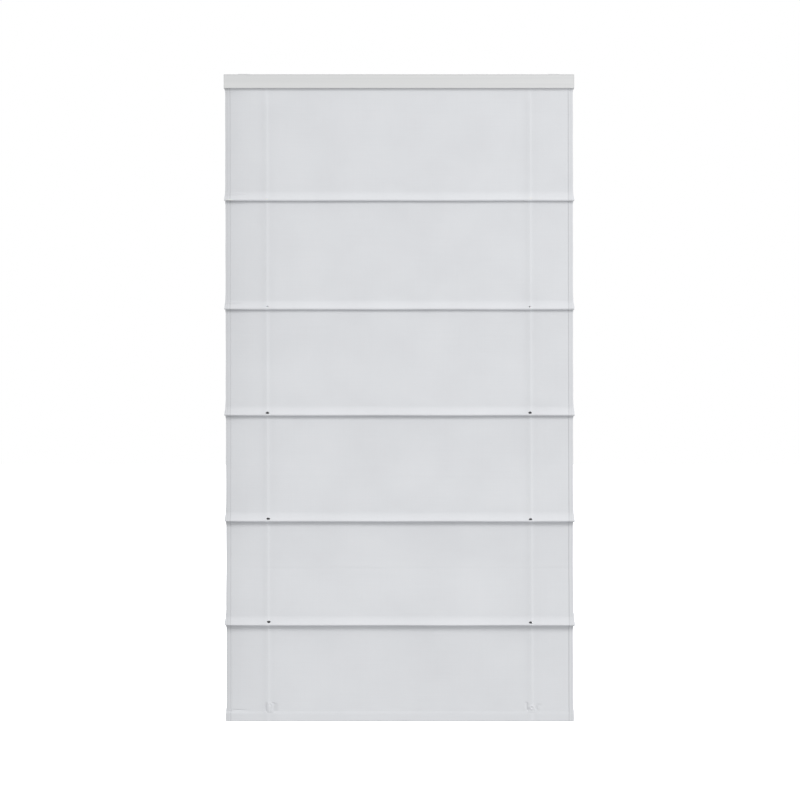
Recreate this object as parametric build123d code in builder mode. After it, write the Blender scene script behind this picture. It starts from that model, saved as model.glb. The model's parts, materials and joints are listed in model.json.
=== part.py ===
from build123d import *
import os
from math import acos, atan, degrees

# Cordless roman blind for a window about 0.9 m wide, hung by two brackets under the head of the recess.
# Millimetres. +X runs along the headrail, -Y is the room side, +Z is up.
# The origin is the centre of the four screw holes, on the top faces of the two mounting brackets.

os.makedirs("parts", exist_ok=True)

# ---------------------------------------------------------------- driving dimensions
RAIL_LENGTH = 880.0        # headrail with its end caps
RAIL_HEIGHT = 35.0
RAIL_DEPTH = 41.0
RAIL_WALL = 1.3
RAIL_TOP = -2.0            # top of the headrail, just under the bracket plates
RAIL_LIP = 6.0             # in-turned lips of the open top
CAP_FLANGE = 2.0
CAP_PLUG = 12.0

DROP = 1626.0              # top of the headrail to the bottom edge of the shade
SHADE_WIDTH = 875.0
CLOTH = 0.8                # cloth thickness
CLOTH_Y = -14.0            # mid plane of the hanging cloth
LIP_DROPS = (318.5, 591.5, 858.0, 1124.0, 1384.5)   # top of the headrail to each tuck's lower edge
TUCK_DEPTH = 10.0          # how far a tuck stands in front of the cloth
TUCK_R = 5.2               # outer radius of a tuck's rounded lower edge
TUCK_RISE = 20.0           # height over which the cloth swings out to the front of the tuck
HEM_HEIGHT = 23.0
HEM_DEPTH = 6.4

ROD_R = 2.0
ROD_LENGTH = 866.0
BAR_LENGTH = 862.0
BAR_HEIGHT = 19.5
BAR_DEPTH = 4.0

CORD_X = 331.0             # the two lift cords, left and right of the middle
CORD_Y = -6.0
CORD_R = 0.7
SLOT_W, SLOT_H = 7.5, 4.0  # oval slots in the tucks at the cords
TAPE_W, TAPE_T = 12.0, 0.5

SPOOL_R = 8.9              # bare core of a cord spool
SPOOL_PITCH_R = 9.7        # middle of the cord that is wound on it
SHAFT_Y = CORD_Y + SPOOL_PITCH_R
SHAFT_Z = -19.0
SHAFT_FLATS = 5.9          # hexagonal lift shaft, across its flats
HEX_BORE = 6.0
SHAFT_LENGTH = 690.0

BRACKET_X = 390.0
BRACKET_W = 30.0
BRACKET_T = 1.2
SCREW_R = 2.25
SCREW_Y = 7.5

# ---------------------------------------------------------------- derived levels
RAIL_BOTTOM = RAIL_TOP - RAIL_HEIGHT
FRONT = -RAIL_DEPTH / 2
BACK = RAIL_DEPTH / 2
IN_FRONT = FRONT + RAIL_WALL
IN_BACK = BACK - RAIL_WALL
IN_BOTTOM = RAIL_BOTTOM + RAIL_WALL
CLOTH_FRONT = CLOTH_Y - CLOTH / 2
CLOTH_BACK = CLOTH_Y + CLOTH / 2
SHADE_BOTTOM = RAIL_TOP - DROP
HEM_TOP = SHADE_BOTTOM + HEM_HEIGHT
LIP_Z = [RAIL_TOP - d for d in LIP_DROPS]            # lower edges of the five tucks
TUCK_CZ = [z + TUCK_R for z in LIP_Z]                # centres of their rounded edges
SLOT_Z = [z + 7.6 for z in LIP_Z]                    # slots just above the rods
SIDES = (("left", -1.0), ("right", 1.0))

# groove under the front of the headrail that holds the top of the cloth
GROOVE_BACK = -10.4
GROOVE_ROOF = -29.5
GROOVE_SLOT = 2.6
SPLINE_R = 1.6
SPLINE_Z = -32.7

# ---------------------------------------------------------------- headrail
with BuildPart() as headrail:
    with BuildSketch(Plane.YZ.offset(-(RAIL_LENGTH / 2 - CAP_FLANGE))) as rail_profile:
        with Locations((0, (RAIL_TOP + RAIL_BOTTOM) / 2)):
            RectangleRounded(RAIL_DEPTH, RAIL_HEIGHT, 1.2)
        # hollow of the channel, and its opening between the two top lips
        with Locations((0, (RAIL_TOP + RAIL_BOTTOM) / 2)):
            Rectangle(RAIL_DEPTH - 2 * RAIL_WALL, RAIL_HEIGHT - 2 * RAIL_WALL, mode=Mode.SUBTRACT)
        with Locations((0, RAIL_TOP - RAIL_WALL / 2)):
            Rectangle(RAIL_DEPTH - 2 * RAIL_LIP, RAIL_WALL + 1.0, mode=Mode.SUBTRACT)
        # roof and rear wall of the cloth groove
        with Locations(((IN_FRONT + GROOVE_BACK + RAIL_WALL) / 2, GROOVE_ROOF + RAIL_WALL / 2)):
            Rectangle(GROOVE_BACK + RAIL_WALL - IN_FRONT, RAIL_WALL)
        with Locations((GROOVE_BACK + RAIL_WALL / 2, (IN_BOTTOM + GROOVE_ROOF) / 2)):
            Rectangle(RAIL_WALL, GROOVE_ROOF - IN_BOTTOM)
        # narrow slot through which the cloth leaves
        with Locations((CLOTH_Y, RAIL_BOTTOM + RAIL_WALL / 2)):
            Rectangle(GROOVE_SLOT, RAIL_WALL + 1.0, mode=Mode.SUBTRACT)
        # a fine shadow groove along the upper front edge
        with Locations((FRONT, RAIL_TOP - 2.1)):
            Rectangle(1.0, 0.9, mode=Mode.SUBTRACT)
        # a small bead along the lower front edge
        with Locations((FRONT + 0.9, RAIL_BOTTOM + 0.9)):
            Circle(1.1)
        with Locations((FRONT - 1.0, RAIL_BOTTOM + 1.0)):
            Rectangle(2.0, 8.0, mode=Mode.SUBTRACT)
        with Locations((FRONT + 1.0, RAIL_BOTTOM - 1.0)):
            Rectangle(8.0, 2.0, mode=Mode.SUBTRACT)
    extrude(amount=RAIL_LENGTH - 2 * CAP_FLANGE)
    # exit holes for the two lift cords
    with BuildSketch(Plane.XY.offset(RAIL_BOTTOM - 1.0)):
        with Locations((-CORD_X, CORD_Y), (CORD_X, CORD_Y)):
            Circle(2.8)
    extrude(amount=RAIL_WALL + 2.0, mode=Mode.SUBTRACT)
headrail.part.label = "headrail"
export_step(headrail.part, "parts/headrail.step")

# ---------------------------------------------------------------- end caps
for side, s in SIDES:
    inner = s * (RAIL_LENGTH / 2 - CAP_FLANGE)
    with BuildPart() as end_cap:
        # flange over the end of the extrusion
        with BuildSketch(Plane.YZ.offset(inner)):
            with Locations((0, (RAIL_TOP + RAIL_BOTTOM) / 2)):
                RectangleRounded(RAIL_DEPTH, RAIL_HEIGHT, 1.2)
        extrude(amount=s * CAP_FLANGE)
        # open plug that sits inside the channel, behind the cloth groove
        with BuildSketch(Plane.YZ.offset(inner)):
            with Locations(((GROOVE_BACK + RAIL_WALL + 0.2 + IN_BACK - 0.15) / 2, (IN_BOTTOM + RAIL_TOP - RAIL_WALL) / 2)):
                Rectangle(IN_BACK - 0.15 - (GROOVE_BACK + RAIL_WALL + 0.2), RAIL_TOP - RAIL_WALL - IN_BOTTOM - 0.3)
            with Locations(((GROOVE_BACK + RAIL_WALL + 0.2 + IN_BACK - 0.15) / 2, (IN_BOTTOM + RAIL_TOP - RAIL_WALL) / 2 + 2.0)):
                Rectangle(IN_BACK - 0.15 - (GROOVE_BACK + RAIL_WALL + 0.2) - 3.2, RAIL_TOP - RAIL_WALL - IN_BOTTOM - 0.3 - 0.8, mode=Mode.SUBTRACT)
        extrude(amount=-s * CAP_PLUG)
    end_cap.part.label = f"end_cap_{side}"
    export_step(end_cap.part, f"parts/end_cap_{side}.step")

# ---------------------------------------------------------------- mounting brackets and their spring clips
PLATE_FRONT = -12.0
PLATE_BACK = 19.0
for side, s in SIDES:
    with BuildPart() as bracket:
        with BuildSketch(Plane.YZ.offset(s * BRACKET_X - BRACKET_W / 2)):
            # top plate, set back from the room side
            with Locations(((PLATE_FRONT + PLATE_BACK) / 2, -BRACKET_T / 2)):
                Rectangle(PLATE_BACK - PLATE_FRONT, BRACKET_T)
            # tongue that goes down into the channel and hooks under its front lip
            with Locations((PLATE_FRONT + BRACKET_T / 2, -3.0)):
                Rectangle(BRACKET_T, 6.0)
            with Locations((PLATE_FRONT - 1.9, -5.4)):
                Rectangle(6.2, BRACKET_T)
            with Locations((PLATE_FRONT - 4.4, -4.9)):
                Rectangle(BRACKET_T, 2.2)
        extrude(amount=BRACKET_W)
        with BuildSketch(Plane.XY.offset(-BRACKET_T - 0.5)):
            with Locations((s * BRACKET_X, -SCREW_Y), (s * BRACKET_X, SCREW_Y)):
                Circle(SCREW_R)
        extrude(amount=BRACKET_T + 1.0, mode=Mode.SUBTRACT)
        vertical = bracket.edges().filter_by(Axis.Z).filter_by_position(Axis.Y, PLATE_BACK - 0.5, PLATE_BACK + 0.5)
        fillet(vertical, 3.0)
    bracket.part.label = f"bracket_{side}"
    export_step(bracket.part, f"parts/bracket_{side}.step")

    # sprung steel clip under the plate that snaps beneath the rear lip
    with BuildPart() as bracket_clip:
        with BuildSketch(Plane.YZ.offset(s * BRACKET_X - 12.0)):
            with Locations((4.6, -BRACKET_T - 0.4)):
                Rectangle(17.2, 0.8)
            with Locations((12.8, -BRACKET_T - 2.4)):
                Rectangle(0.8, 4.8)
            with Locations((15.6, -BRACKET_T - 4.4)):
                Rectangle(6.4, 0.8)
            with Locations((18.4, -BRACKET_T - 3.9)):
                Rectangle(0.8, 1.8)
        extrude(amount=24.0)
        # window that leaves the rear screw free
        with BuildSketch(Plane.XY.offset(-BRACKET_T - 1.2)):
            with Locations((s * BRACKET_X, SCREW_Y)):
                Circle(4.6)
        extrude(amount=1.6, mode=Mode.SUBTRACT)
    bracket_clip.part.label = f"bracket_clip_{side}"
    export_step(bracket_clip.part, f"parts/bracket_clip_{side}.step")

# ---------------------------------------------------------------- lift shaft
with BuildPart() as lift_shaft:
    with BuildSketch(Plane.YZ.offset(-SHAFT_LENGTH / 2)):
        with Locations((SHAFT_Y, SHAFT_Z)):
            RegularPolygon(SHAFT_FLATS / 2, 6, major_radius=False)
    extrude(amount=SHAFT_LENGTH)
lift_shaft.part.label = "lift_shaft"
export_step(lift_shaft.part, "parts/lift_shaft.step")

# ---------------------------------------------------------------- cord spools, their cradles and the cord guides
SPOOL_CORE = 34.0
SPOOL_FLANGE_R = 12.0
SPOOL_FLANGE_T = 1.5
JOURNAL_R = 5.0
JOURNAL_LENGTH = 3.4
CRADLE_WALL = 2.0
CRADLE_GAP = 0.5
CRADLE_FRONT = -8.8
CRADLE_BACK = 18.9
CRADLE_TOP = -5.4
SPOOL_SHIFT = 13.0         # the cord leaves near the spool's outer flange
for side, s in SIDES:
    mid = s * (CORD_X - SPOOL_SHIFT)
    half = SPOOL_CORE / 2 + SPOOL_FLANGE_T
    with BuildPart() as cord_spool:
        with BuildSketch(Plane.YZ.offset(mid - SPOOL_CORE / 2)):
            with Locations((SHAFT_Y, SHAFT_Z)):
                Circle(SPOOL_R)
        extrude(amount=SPOOL_CORE)
        for end in (-1.0, 1.0):
            with BuildSketch(Plane.YZ.offset(mid + end * SPOOL_CORE / 2)):
                with Locations((SHAFT_Y, SHAFT_Z)):
                    Circle(SPOOL_FLANGE_R)
            extrude(amount=end * SPOOL_FLANGE_T)
            with BuildSketch(Plane.YZ.offset(mid + end * half)):
                with Locations((SHAFT_Y, SHAFT_Z)):
                    Circle(JOURNAL_R)
            extrude(amount=end * JOURNAL_LENGTH)
        with BuildSketch(Plane.YZ.offset(mid - half - JOURNAL_LENGTH - 1.0)):
            with Locations((SHAFT_Y, SHAFT_Z)):
                RegularPolygon(HEX_BORE / 2, 6, major_radius=False)
        extrude(amount=2 * (half + JOURNAL_LENGTH + 1.0), mode=Mode.SUBTRACT)
        # four lightening notches in each flange
        with BuildSketch(Plane.YZ.offset(mid - half - 0.5)):
            with Locations((SHAFT_Y, SHAFT_Z)):
                with PolarLocations(SPOOL_FLANGE_R, 4, start_angle=45.0):
                    Circle(1.6)
        extrude(amount=2 * half + 1.0, mode=Mode.SUBTRACT)
    cord_spool.part.label = f"cord_spool_{side}"
    export_step(cord_spool.part, f"parts/cord_spool_{side}.step")

    with BuildPart() as spool_cradle:
        length = 2 * (half + CRADLE_GAP + CRADLE_WALL)
        with BuildSketch(Plane.XY.offset(IN_BOTTOM + 0.1)):
            with Locations((mid, (CRADLE_FRONT + CRADLE_BACK) / 2)):
                Rectangle(length, CRADLE_BACK - CRADLE_FRONT)
        extrude(amount=2.0)
        for end in (-1.0, 1.0):
            with BuildSketch(Plane.YZ.offset(mid + end * (half + CRADLE_GAP))):
                with BuildLine():
                    Polyline(
                        (CRADLE_FRONT, IN_BOTTOM + 0.1),
                        (CRADLE_FRONT, SHAFT_Z + 4.0),
                        (SHAFT_Y - 7.5, CRADLE_TOP),
                        (SHAFT_Y + 9.0, CRADLE_TOP),
                        (CRADLE_BACK, SHAFT_Z + 6.0),
                        (CRADLE_BACK, IN_BOTTOM + 0.1),
                        close=True,
                    )
                make_face()
                with Locations((SHAFT_Y, SHAFT_Z)):
                    Circle(JOURNAL_R + 0.08, mode=Mode.SUBTRACT)
            extrude(amount=end * CRADLE_WALL)
        # rear web that ties the two end walls together
        with BuildSketch(Plane.XZ.offset(-CRADLE_BACK)):
            with Locations((mid, (IN_BOTTOM + 0.1 - 24.0) / 2)):
                Rectangle(length, -24.0 - IN_BOTTOM - 0.1)
        extrude(amount=1.6)
        # room for the cord guide
        with BuildSketch(Plane.XY.offset(IN_BOTTOM - 0.5)):
            with Locations((s * CORD_X, CORD_Y)):
                Circle(3.5)
        extrude(amount=3.5, mode=Mode.SUBTRACT)
    spool_cradle.part.label = f"spool_cradle_{side}"
    export_step(spool_cradle.part, f"parts/spool_cradle_{side}.step")

    # flanged bush in the bottom of the headrail
    with BuildPart() as cord_guide:
        with BuildSketch(Plane.XY.offset(RAIL_BOTTOM - 0.6)):
            with Locations((s * CORD_X, CORD_Y)):
                Circle(3.0)
        extrude(amount=0.6)
        with BuildSketch(Plane.XY.offset(RAIL_BOTTOM)):
            with Locations((s * CORD_X, CORD_Y)):
                Circle(2.75)
        extrude(amount=RAIL_WALL + 1.4)
        with BuildSketch(Plane.XY.offset(RAIL_BOTTOM - 1.0)):
            with Locations((s * CORD_X, CORD_Y)):
                Circle(1.4)
        extrude(amount=5.0, mode=Mode.SUBTRACT)
    cord_guide.part.label = f"cord_guide_{side}"
    export_step(cord_guide.part, f"parts/cord_guide_{side}.step")

# ---------------------------------------------------------------- spring motor
STORE_Y, STORE_Z = -10.3, -15.0
MOTOR_HALF = 13.0
MOTOR_WALL = 1.5
MOTOR_TOP = -6.0
OUT_CORE, OUT_COIL, OUT_FLANGE = 5.5, 7.6, 8.2
STORE_CORE, STORE_COIL, STORE_FLANGE = 4.2, 5.0, 5.8
DRUM_HALF = 10.6
BAND_HALF = 8.5
STEP_Y = -8.8
with BuildPart() as motor_housing:
    with BuildSketch(Plane.YZ.offset(-MOTOR_HALF)):
        with BuildLine():
            Polyline(
                (IN_FRONT + 0.4, GROOVE_ROOF + RAIL_WALL + 0.3),
                (STEP_Y, GROOVE_ROOF + RAIL_WALL + 0.3),
                (STEP_Y, IN_BOTTOM + 0.1),
                (15.0, IN_BOTTOM + 0.1),
                (15.0, MOTOR_TOP),
                (IN_FRONT + 0.4, MOTOR_TOP),
                close=True,
            )
        make_face()
    extrude(amount=2 * MOTOR_HALF)
    with BuildSketch(Plane.YZ.offset(-MOTOR_HALF + MOTOR_WALL)):
        with BuildLine():
            Polyline(
                (IN_FRONT + 1.6, GROOVE_ROOF + RAIL_WALL + 1.3),
                (STEP_Y + 1.3, GROOVE_ROOF + RAIL_WALL + 1.3),
                (STEP_Y + 1.3, IN_BOTTOM + 1.6),
                (13.5, IN_BOTTOM + 1.6),
                (13.5, MOTOR_TOP + 1.0),
                (IN_FRONT + 1.6, MOTOR_TOP + 1.0),
                close=True,
            )
        make_face()
    extrude(amount=2 * (MOTOR_HALF - MOTOR_WALL), mode=Mode.SUBTRACT)
    # bearing holes for the two drums
    with BuildSketch(Plane.YZ.offset(-MOTOR_HALF - 1.0)):
        with Locations((SHAFT_Y, SHAFT_Z)):
            Circle(4.58)
        with Locations((STORE_Y, STORE_Z)):
            Circle(2.58)
    extrude(amount=2 * MOTOR_HALF + 2.0, mode=Mode.SUBTRACT)
motor_housing.part.label = "motor_housing"
export_step(motor_housing.part, "parts/motor_housing.step")

with BuildPart() as motor_cover:
    with BuildSketch(Plane.XY.offset(MOTOR_TOP + 0.05)):
        with Locations((0, (IN_FRONT + 0.4 + 15.0) / 2)):
            RectangleRounded(2 * MOTOR_HALF, 15.0 - IN_FRONT - 0.4, 1.0)
    extrude(amount=1.5)
    # rim that drops inside the housing
    with BuildSketch(Plane.XY.offset(MOTOR_TOP + 0.05)):
        with Locations((0, (IN_FRONT + 1.6 + 13.5) / 2)):
            Rectangle(2 * (MOTOR_HALF - MOTOR_WALL) - 0.3, 13.5 - IN_FRONT - 1.6 - 0.3)
            Rectangle(2 * (MOTOR_HALF - MOTOR_WALL) - 2.3, 13.5 - IN_FRONT - 1.6 - 2.3, mode=Mode.SUBTRACT)
    extrude(amount=-0.9)
    # two ribs on the top
    with BuildSketch(Plane.XY.offset(MOTOR_TOP + 1.55)):
        with Locations((-6.0, -2.0), (6.0, -2.0)):
            Rectangle(1.2, 26.0)
    extrude(amount=0.6)
motor_cover.part.label = "motor_cover"
export_step(motor_cover.part, "parts/motor_cover.step")

for name, y, z, core, flange, journal, bore in (
    ("output_drum", SHAFT_Y, SHAFT_Z, OUT_CORE, OUT_FLANGE, 4.5, True),
    ("storage_drum", STORE_Y, STORE_Z, STORE_CORE, STORE_FLANGE, 2.5, False),
):
    with BuildPart() as drum:
        with BuildSketch(Plane.YZ.offset(-BAND_HALF - 0.4)):
            with Locations((y, z)):
                Circle(core)
        extrude(amount=2 * (BAND_HALF + 0.4))
        for end in (-1.0, 1.0):
            with BuildSketch(Plane.YZ.offset(end * (BAND_HALF + 0.4))):
                with Locations((y, z)):
                    Circle(flange)
            extrude(amount=end * (DRUM_HALF - BAND_HALF - 0.4))
            with BuildSketch(Plane.YZ.offset(end * DRUM_HALF)):
                with Locations((y, z)):
                    Circle(journal)
            extrude(amount=end * (MOTOR_HALF - DRUM_HALF + 0.6))
        if bore:
            with BuildSketch(Plane.YZ.offset(-MOTOR_HALF - 2.0)):
                with Locations((y, z)):
                    RegularPolygon(HEX_BORE / 2, 6, major_radius=False)
            extrude(amount=2 * MOTOR_HALF + 4.0, mode=Mode.SUBTRACT)
    drum.part.label = name
    export_step(drum.part, f"parts/{name}.step")

# flat spring band: one coil on each drum and the free run between them
with BuildPart() as spring_band:
    with BuildSketch(Plane.YZ.offset(-BAND_HALF)):
        with Locations((SHAFT_Y, SHAFT_Z)):
            Circle(OUT_COIL)
        with Locations((STORE_Y, STORE_Z)):
            Circle(STORE_COIL)
        with BuildLine():
            Polyline(
                (SHAFT_Y - 1.9, SHAFT_Z + OUT_COIL - 0.45),
                (SHAFT_Y - 1.9, SHAFT_Z + OUT_COIL - 0.05),
                (STORE_Y - 0.2, STORE_Z + STORE_COIL - 0.05),
                (STORE_Y - 0.2, STORE_Z + STORE_COIL - 0.45),
                close=True,
            )
        make_face()
        with Locations((SHAFT_Y, SHAFT_Z)):
            Circle(OUT_CORE + 0.2, mode=Mode.SUBTRACT)
        with Locations((STORE_Y, STORE_Z)):
            Circle(STORE_CORE + 0.2, mode=Mode.SUBTRACT)
    extrude(amount=2 * BAND_HALF)
spring_band.part.label = "spring_band"
export_step(spring_band.part, "parts/spring_band.step")

# ---------------------------------------------------------------- shade cloth
# One sheet: a loop round the spline in the headrail groove, a plain fall, five tucks that stand
# forward as rounded lips with a rod pocket in each, and a hem pocket for the weight bar.
ARC_A = degrees(2.0 * atan(TUCK_DEPTH / TUCK_RISE))   # two equal arcs swing the cloth out to the front of a tuck
ARC_R = (TUCK_RISE**2 + TUCK_DEPTH**2) / (4.0 * TUCK_DEPTH)
TUCK_FRONT = CLOTH_FRONT - TUCK_DEPTH
PLY_FRONT = CLOTH_FRONT - CLOTH              # second ply, sewn flat on the front of the fall
APEX_A = degrees(acos((PLY_FRONT - CLOTH_FRONT + ARC_R) / (ARC_R + CLOTH)))
FOOT_A = degrees(acos((PLY_FRONT - TUCK_FRONT - TUCK_R) / (TUCK_R - CLOTH)))
with BuildPart() as shade_fabric:
    with BuildSketch(Plane.YZ.offset(-SHADE_WIDTH / 2)):
        # the fall
        with Locations((CLOTH_Y, (SPLINE_Z + SHADE_BOTTOM + HEM_HEIGHT - 3.0) / 2)):
            Rectangle(CLOTH, SPLINE_Z - SHADE_BOTTOM - HEM_HEIGHT + 3.0)
        # loop at the top
        with Locations((CLOTH_Y, SPLINE_Z)):
            Circle(SPLINE_R + 0.3 + CLOTH)
            Circle(SPLINE_R + 0.3, mode=Mode.SUBTRACT)
        # tucks
        for cz in TUCK_CZ:
            top = cz + TUCK_RISE
            with BuildLine():
                a1 = CenterArc((CLOTH_FRONT - ARC_R, top), ARC_R, 0, -ARC_A)
                a2 = CenterArc((TUCK_FRONT + ARC_R, cz), ARC_R, 180.0 - ARC_A, ARC_A)
                a3 = CenterArc((TUCK_FRONT + TUCK_R, cz), TUCK_R, 180.0, 180.0)
                Polyline(a3 @ 1, ((a3 @ 1).X, top), a1 @ 0)
            make_face()
        # rod pockets
        for cz in TUCK_CZ:
            top = cz + TUCK_RISE
            with BuildLine():
                b1 = CenterArc((CLOTH_FRONT - ARC_R, top), ARC_R + CLOTH, -APEX_A, -(ARC_A - APEX_A))
                b2 = CenterArc((TUCK_FRONT + ARC_R, cz), ARC_R - CLOTH, 180.0 - ARC_A, ARC_A)
                b3 = CenterArc((TUCK_FRONT + TUCK_R, cz), TUCK_R - CLOTH, 180.0, 180.0 - FOOT_A)
                Line(b3 @ 1, b1 @ 0)
            make_face(mode=Mode.SUBTRACT)
        # hem pocket
        with Locations((CLOTH_Y, SHADE_BOTTOM + HEM_HEIGHT / 2)):
            RectangleRounded(HEM_DEPTH, HEM_HEIGHT, HEM_DEPTH / 2 - 0.05)
            RectangleRounded(HEM_DEPTH - 2 * CLOTH, HEM_HEIGHT - 2 * CLOTH, HEM_DEPTH / 2 - CLOTH - 0.05, mode=Mode.SUBTRACT)
    extrude(amount=SHADE_WIDTH)
    # oval slots through each tuck at the two cords
    with BuildSketch(Plane.XZ.offset(-TUCK_FRONT + 4.0)) as slot_sketch:
        with Locations(*[(s * CORD_X, z) for s in (-1.0, 1.0) for z in SLOT_Z]):
            SlotOverall(SLOT_W, SLOT_H)
    extrude(amount=-(CLOTH_BACK - TUCK_FRONT + 6.0), mode=Mode.SUBTRACT)
    # slots in the back of the hem for the cord anchors
    with BuildSketch(Plane.XZ.offset(-(CLOTH_Y + HEM_DEPTH / 2 + 1.0))):
        with Locations((-CORD_X, HEM_TOP - 9.0), (CORD_X, HEM_TOP - 9.0)):
            SlotOverall(13.0, 4.0)
    extrude(amount=3.0, mode=Mode.SUBTRACT)
shade_fabric.part.label = "shade_fabric"
export_step(shade_fabric.part, "parts/shade_fabric.step")

# spline that holds the cloth's top loop in the headrail groove
with BuildPart() as fabric_spline:
    with BuildSketch(Plane.YZ.offset(-(SHADE_WIDTH / 2 - 1.0))):
        with Locations((CLOTH_Y, SPLINE_Z)):
            Circle(SPLINE_R)
    extrude(amount=SHADE_WIDTH - 2.0)
fabric_spline.part.label = "fabric_spline"
export_step(fabric_spline.part, "parts/fabric_spline.step")

# ---------------------------------------------------------------- rods and cord rings of the five tucks
ROD_Y = TUCK_FRONT + TUCK_R
for i, cz in enumerate(TUCK_CZ, start=1):
    rod_z = cz - 2.0
    with BuildPart() as fold_rod:
        with BuildSketch(Plane.YZ.offset(-ROD_LENGTH / 2)):
            with Locations((ROD_Y, rod_z)):
                Circle(ROD_R)
        extrude(amount=ROD_LENGTH)
        chamfer(fold_rod.edges().filter_by(GeomType.CIRCLE), 0.4)
    fold_rod.part.label = f"fold_rod_{i}"
    export_step(fold_rod.part, f"parts/fold_rod_{i}.step")

    # two rings behind the cloth, each on a stem that passes through the slot and saddles the rod
    with BuildPart() as cord_rings:
        for s in (-1.0, 1.0):
            with BuildSketch(Plane.YZ.offset(s * CORD_X - 2.6)):
                with Locations((ROD_Y, rod_z)):
                    Circle(ROD_R + 1.4)
                with Locations((ROD_Y, rod_z - 2.5)):
                    Rectangle(9.0, 5.0, mode=Mode.SUBTRACT)
                with Locations(((ROD_Y + CORD_Y - 3.0) / 2, SLOT_Z[i - 1] - 0.1)):
                    Rectangle(CORD_Y - 3.0 - ROD_Y, 2.2)
                with Locations((ROD_Y, (rod_z + 2.4 + SLOT_Z[i - 1] - 0.1) / 2)):
                    Rectangle(3.6, SLOT_Z[i - 1] - rod_z - 1.4)
                with Locations((ROD_Y, rod_z)):
                    Circle(ROD_R + 0.05, mode=Mode.SUBTRACT)
            extrude(amount=5.2)
            with BuildSketch(Plane.XY.offset(SLOT_Z[i - 1] - 1.2)):
                with Locations((s * CORD_X, CORD_Y)):
                    Circle(4.6)
            extrude(amount=2.2)
            with BuildSketch(Plane.XY.offset(SLOT_Z[i - 1] - 2.0)):
                with Locations((s * CORD_X, CORD_Y)):
                    Circle(2.4)
            extrude(amount=4.0, mode=Mode.SUBTRACT)
    cord_rings.part.label = f"cord_rings_{i}"
    export_step(cord_rings.part, f"parts/cord_rings_{i}.step")

# ---------------------------------------------------------------- weight bar in the hem
BAR_Z = SHADE_BOTTOM + HEM_HEIGHT / 2
with BuildPart() as weight_bar:
    with BuildSketch(Plane.YZ.offset(-BAR_LENGTH / 2)):
        with Locations((CLOTH_Y, BAR_Z)):
            RectangleRounded(BAR_DEPTH, BAR_HEIGHT, 1.8)
    extrude(amount=BAR_LENGTH)
weight_bar.part.label = "weight_bar"
export_step(weight_bar.part, "parts/weight_bar.step")

for side, s in SIDES:
    with BuildPart() as bar_cap:
        with BuildSketch(Plane.YZ.offset(s * (BAR_LENGTH / 2 + 0.05))):
            with Locations((CLOTH_Y, BAR_Z)):
                RectangleRounded(BAR_DEPTH, BAR_HEIGHT, 1.8)
        extrude(amount=s * 3.5)
        fillet(bar_cap.faces().sort_by(Axis.X)[-1 if s > 0 else 0].edges(), 0.8)
    bar_cap.part.label = f"bar_cap_{side}"
    export_step(bar_cap.part, f"parts/bar_cap_{side}.step")

    # tab on the weight bar that comes out through the back of the hem and carries the adjuster
    with BuildPart() as cord_anchor:
        with BuildSketch(Plane.YZ.offset(s * CORD_X - 5.0)):
            with Locations(((CLOTH_Y + BAR_DEPTH / 2 + 0.05 - 8.0) / 2, HEM_TOP - 9.0)):
                Rectangle(-8.0 - (CLOTH_Y + BAR_DEPTH / 2 + 0.05), 2.2)
            with Locations((-8.9, HEM_TOP + 1.8)):
                Rectangle(1.8, 23.8)
        extrude(amount=10.0)
    cord_anchor.part.label = f"cord_anchor_{side}"
    export_step(cord_anchor.part, f"parts/cord_anchor_{side}.step")

    # egg-shaped cord adjuster, open for the cord from top to bottom
    with BuildPart() as cord_adjuster:
        with BuildSketch(Plane.XZ.offset(7.8)) as egg:
            with Locations((s * CORD_X, SHADE_BOTTOM + 42.0)):
                Ellipse(12.0, 9.5)
        extrude(amount=4.6, both=True)
        fillet(cord_adjuster.edges().filter_by(GeomType.ELLIPSE), 4.0)
        with BuildSketch(Plane.XY.offset(SHADE_BOTTOM + 25.0)):
            with Locations((s * CORD_X, CORD_Y)):
                Circle(1.1)
        extrude(amount=34.0, mode=Mode.SUBTRACT)
        # slot in the underside that the anchor's tongue is pressed into
        with BuildSketch(Plane.XY.offset(SHADE_BOTTOM + 30.0)):
            with Locations((s * CORD_X, -8.9)):
                Rectangle(10.3, 2.0)
        extrude(amount=7.0, mode=Mode.SUBTRACT)
    cord_adjuster.part.label = f"cord_adjuster_{side}"
    export_step(cord_adjuster.part, f"parts/cord_adjuster_{side}.step")

# ---------------------------------------------------------------- lift cords and the tapes behind them
KNOT_R = 1.7
KNOT_Z = SHADE_BOTTOM + 32.5 - 0.4 - KNOT_R
for side, s in SIDES:
    with BuildPart() as lift_cord:
        with BuildSketch(Plane.XY.offset(KNOT_Z)):
            with Locations((s * CORD_X, CORD_Y)):
                Circle(CORD_R)
        extrude(amount=SHAFT_Z - KNOT_Z)
        with Locations((s * CORD_X, CORD_Y, KNOT_Z)):
            Sphere(KNOT_R)
    lift_cord.part.label = f"lift_cord_{side}"
    export_step(lift_cord.part, f"parts/lift_cord_{side}.step")
    print(f"lift_cord_{side}: one straight run, {SHAFT_Z - KNOT_Z:.1f} mm, no arcs")

    with BuildPart() as ring_tape:
        tape_top = RAIL_BOTTOM - 1.5
        tape_foot = HEM_TOP + 1.0
        with BuildSketch(Plane.XZ.offset(-(CLOTH_BACK + 0.1))):
            with Locations((s * CORD_X, (tape_top + tape_foot) / 2)):
                Rectangle(TAPE_W, tape_top - tape_foot)
            with Locations(*[(s * CORD_X, z) for z in SLOT_Z]):
                SlotOverall(SLOT_W, SLOT_H, mode=Mode.SUBTRACT)
        extrude(amount=-TAPE_T)
    ring_tape.part.label = f"ring_tape_{side}"
    export_step(ring_tape.part, f"parts/ring_tape_{side}.step")
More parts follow.
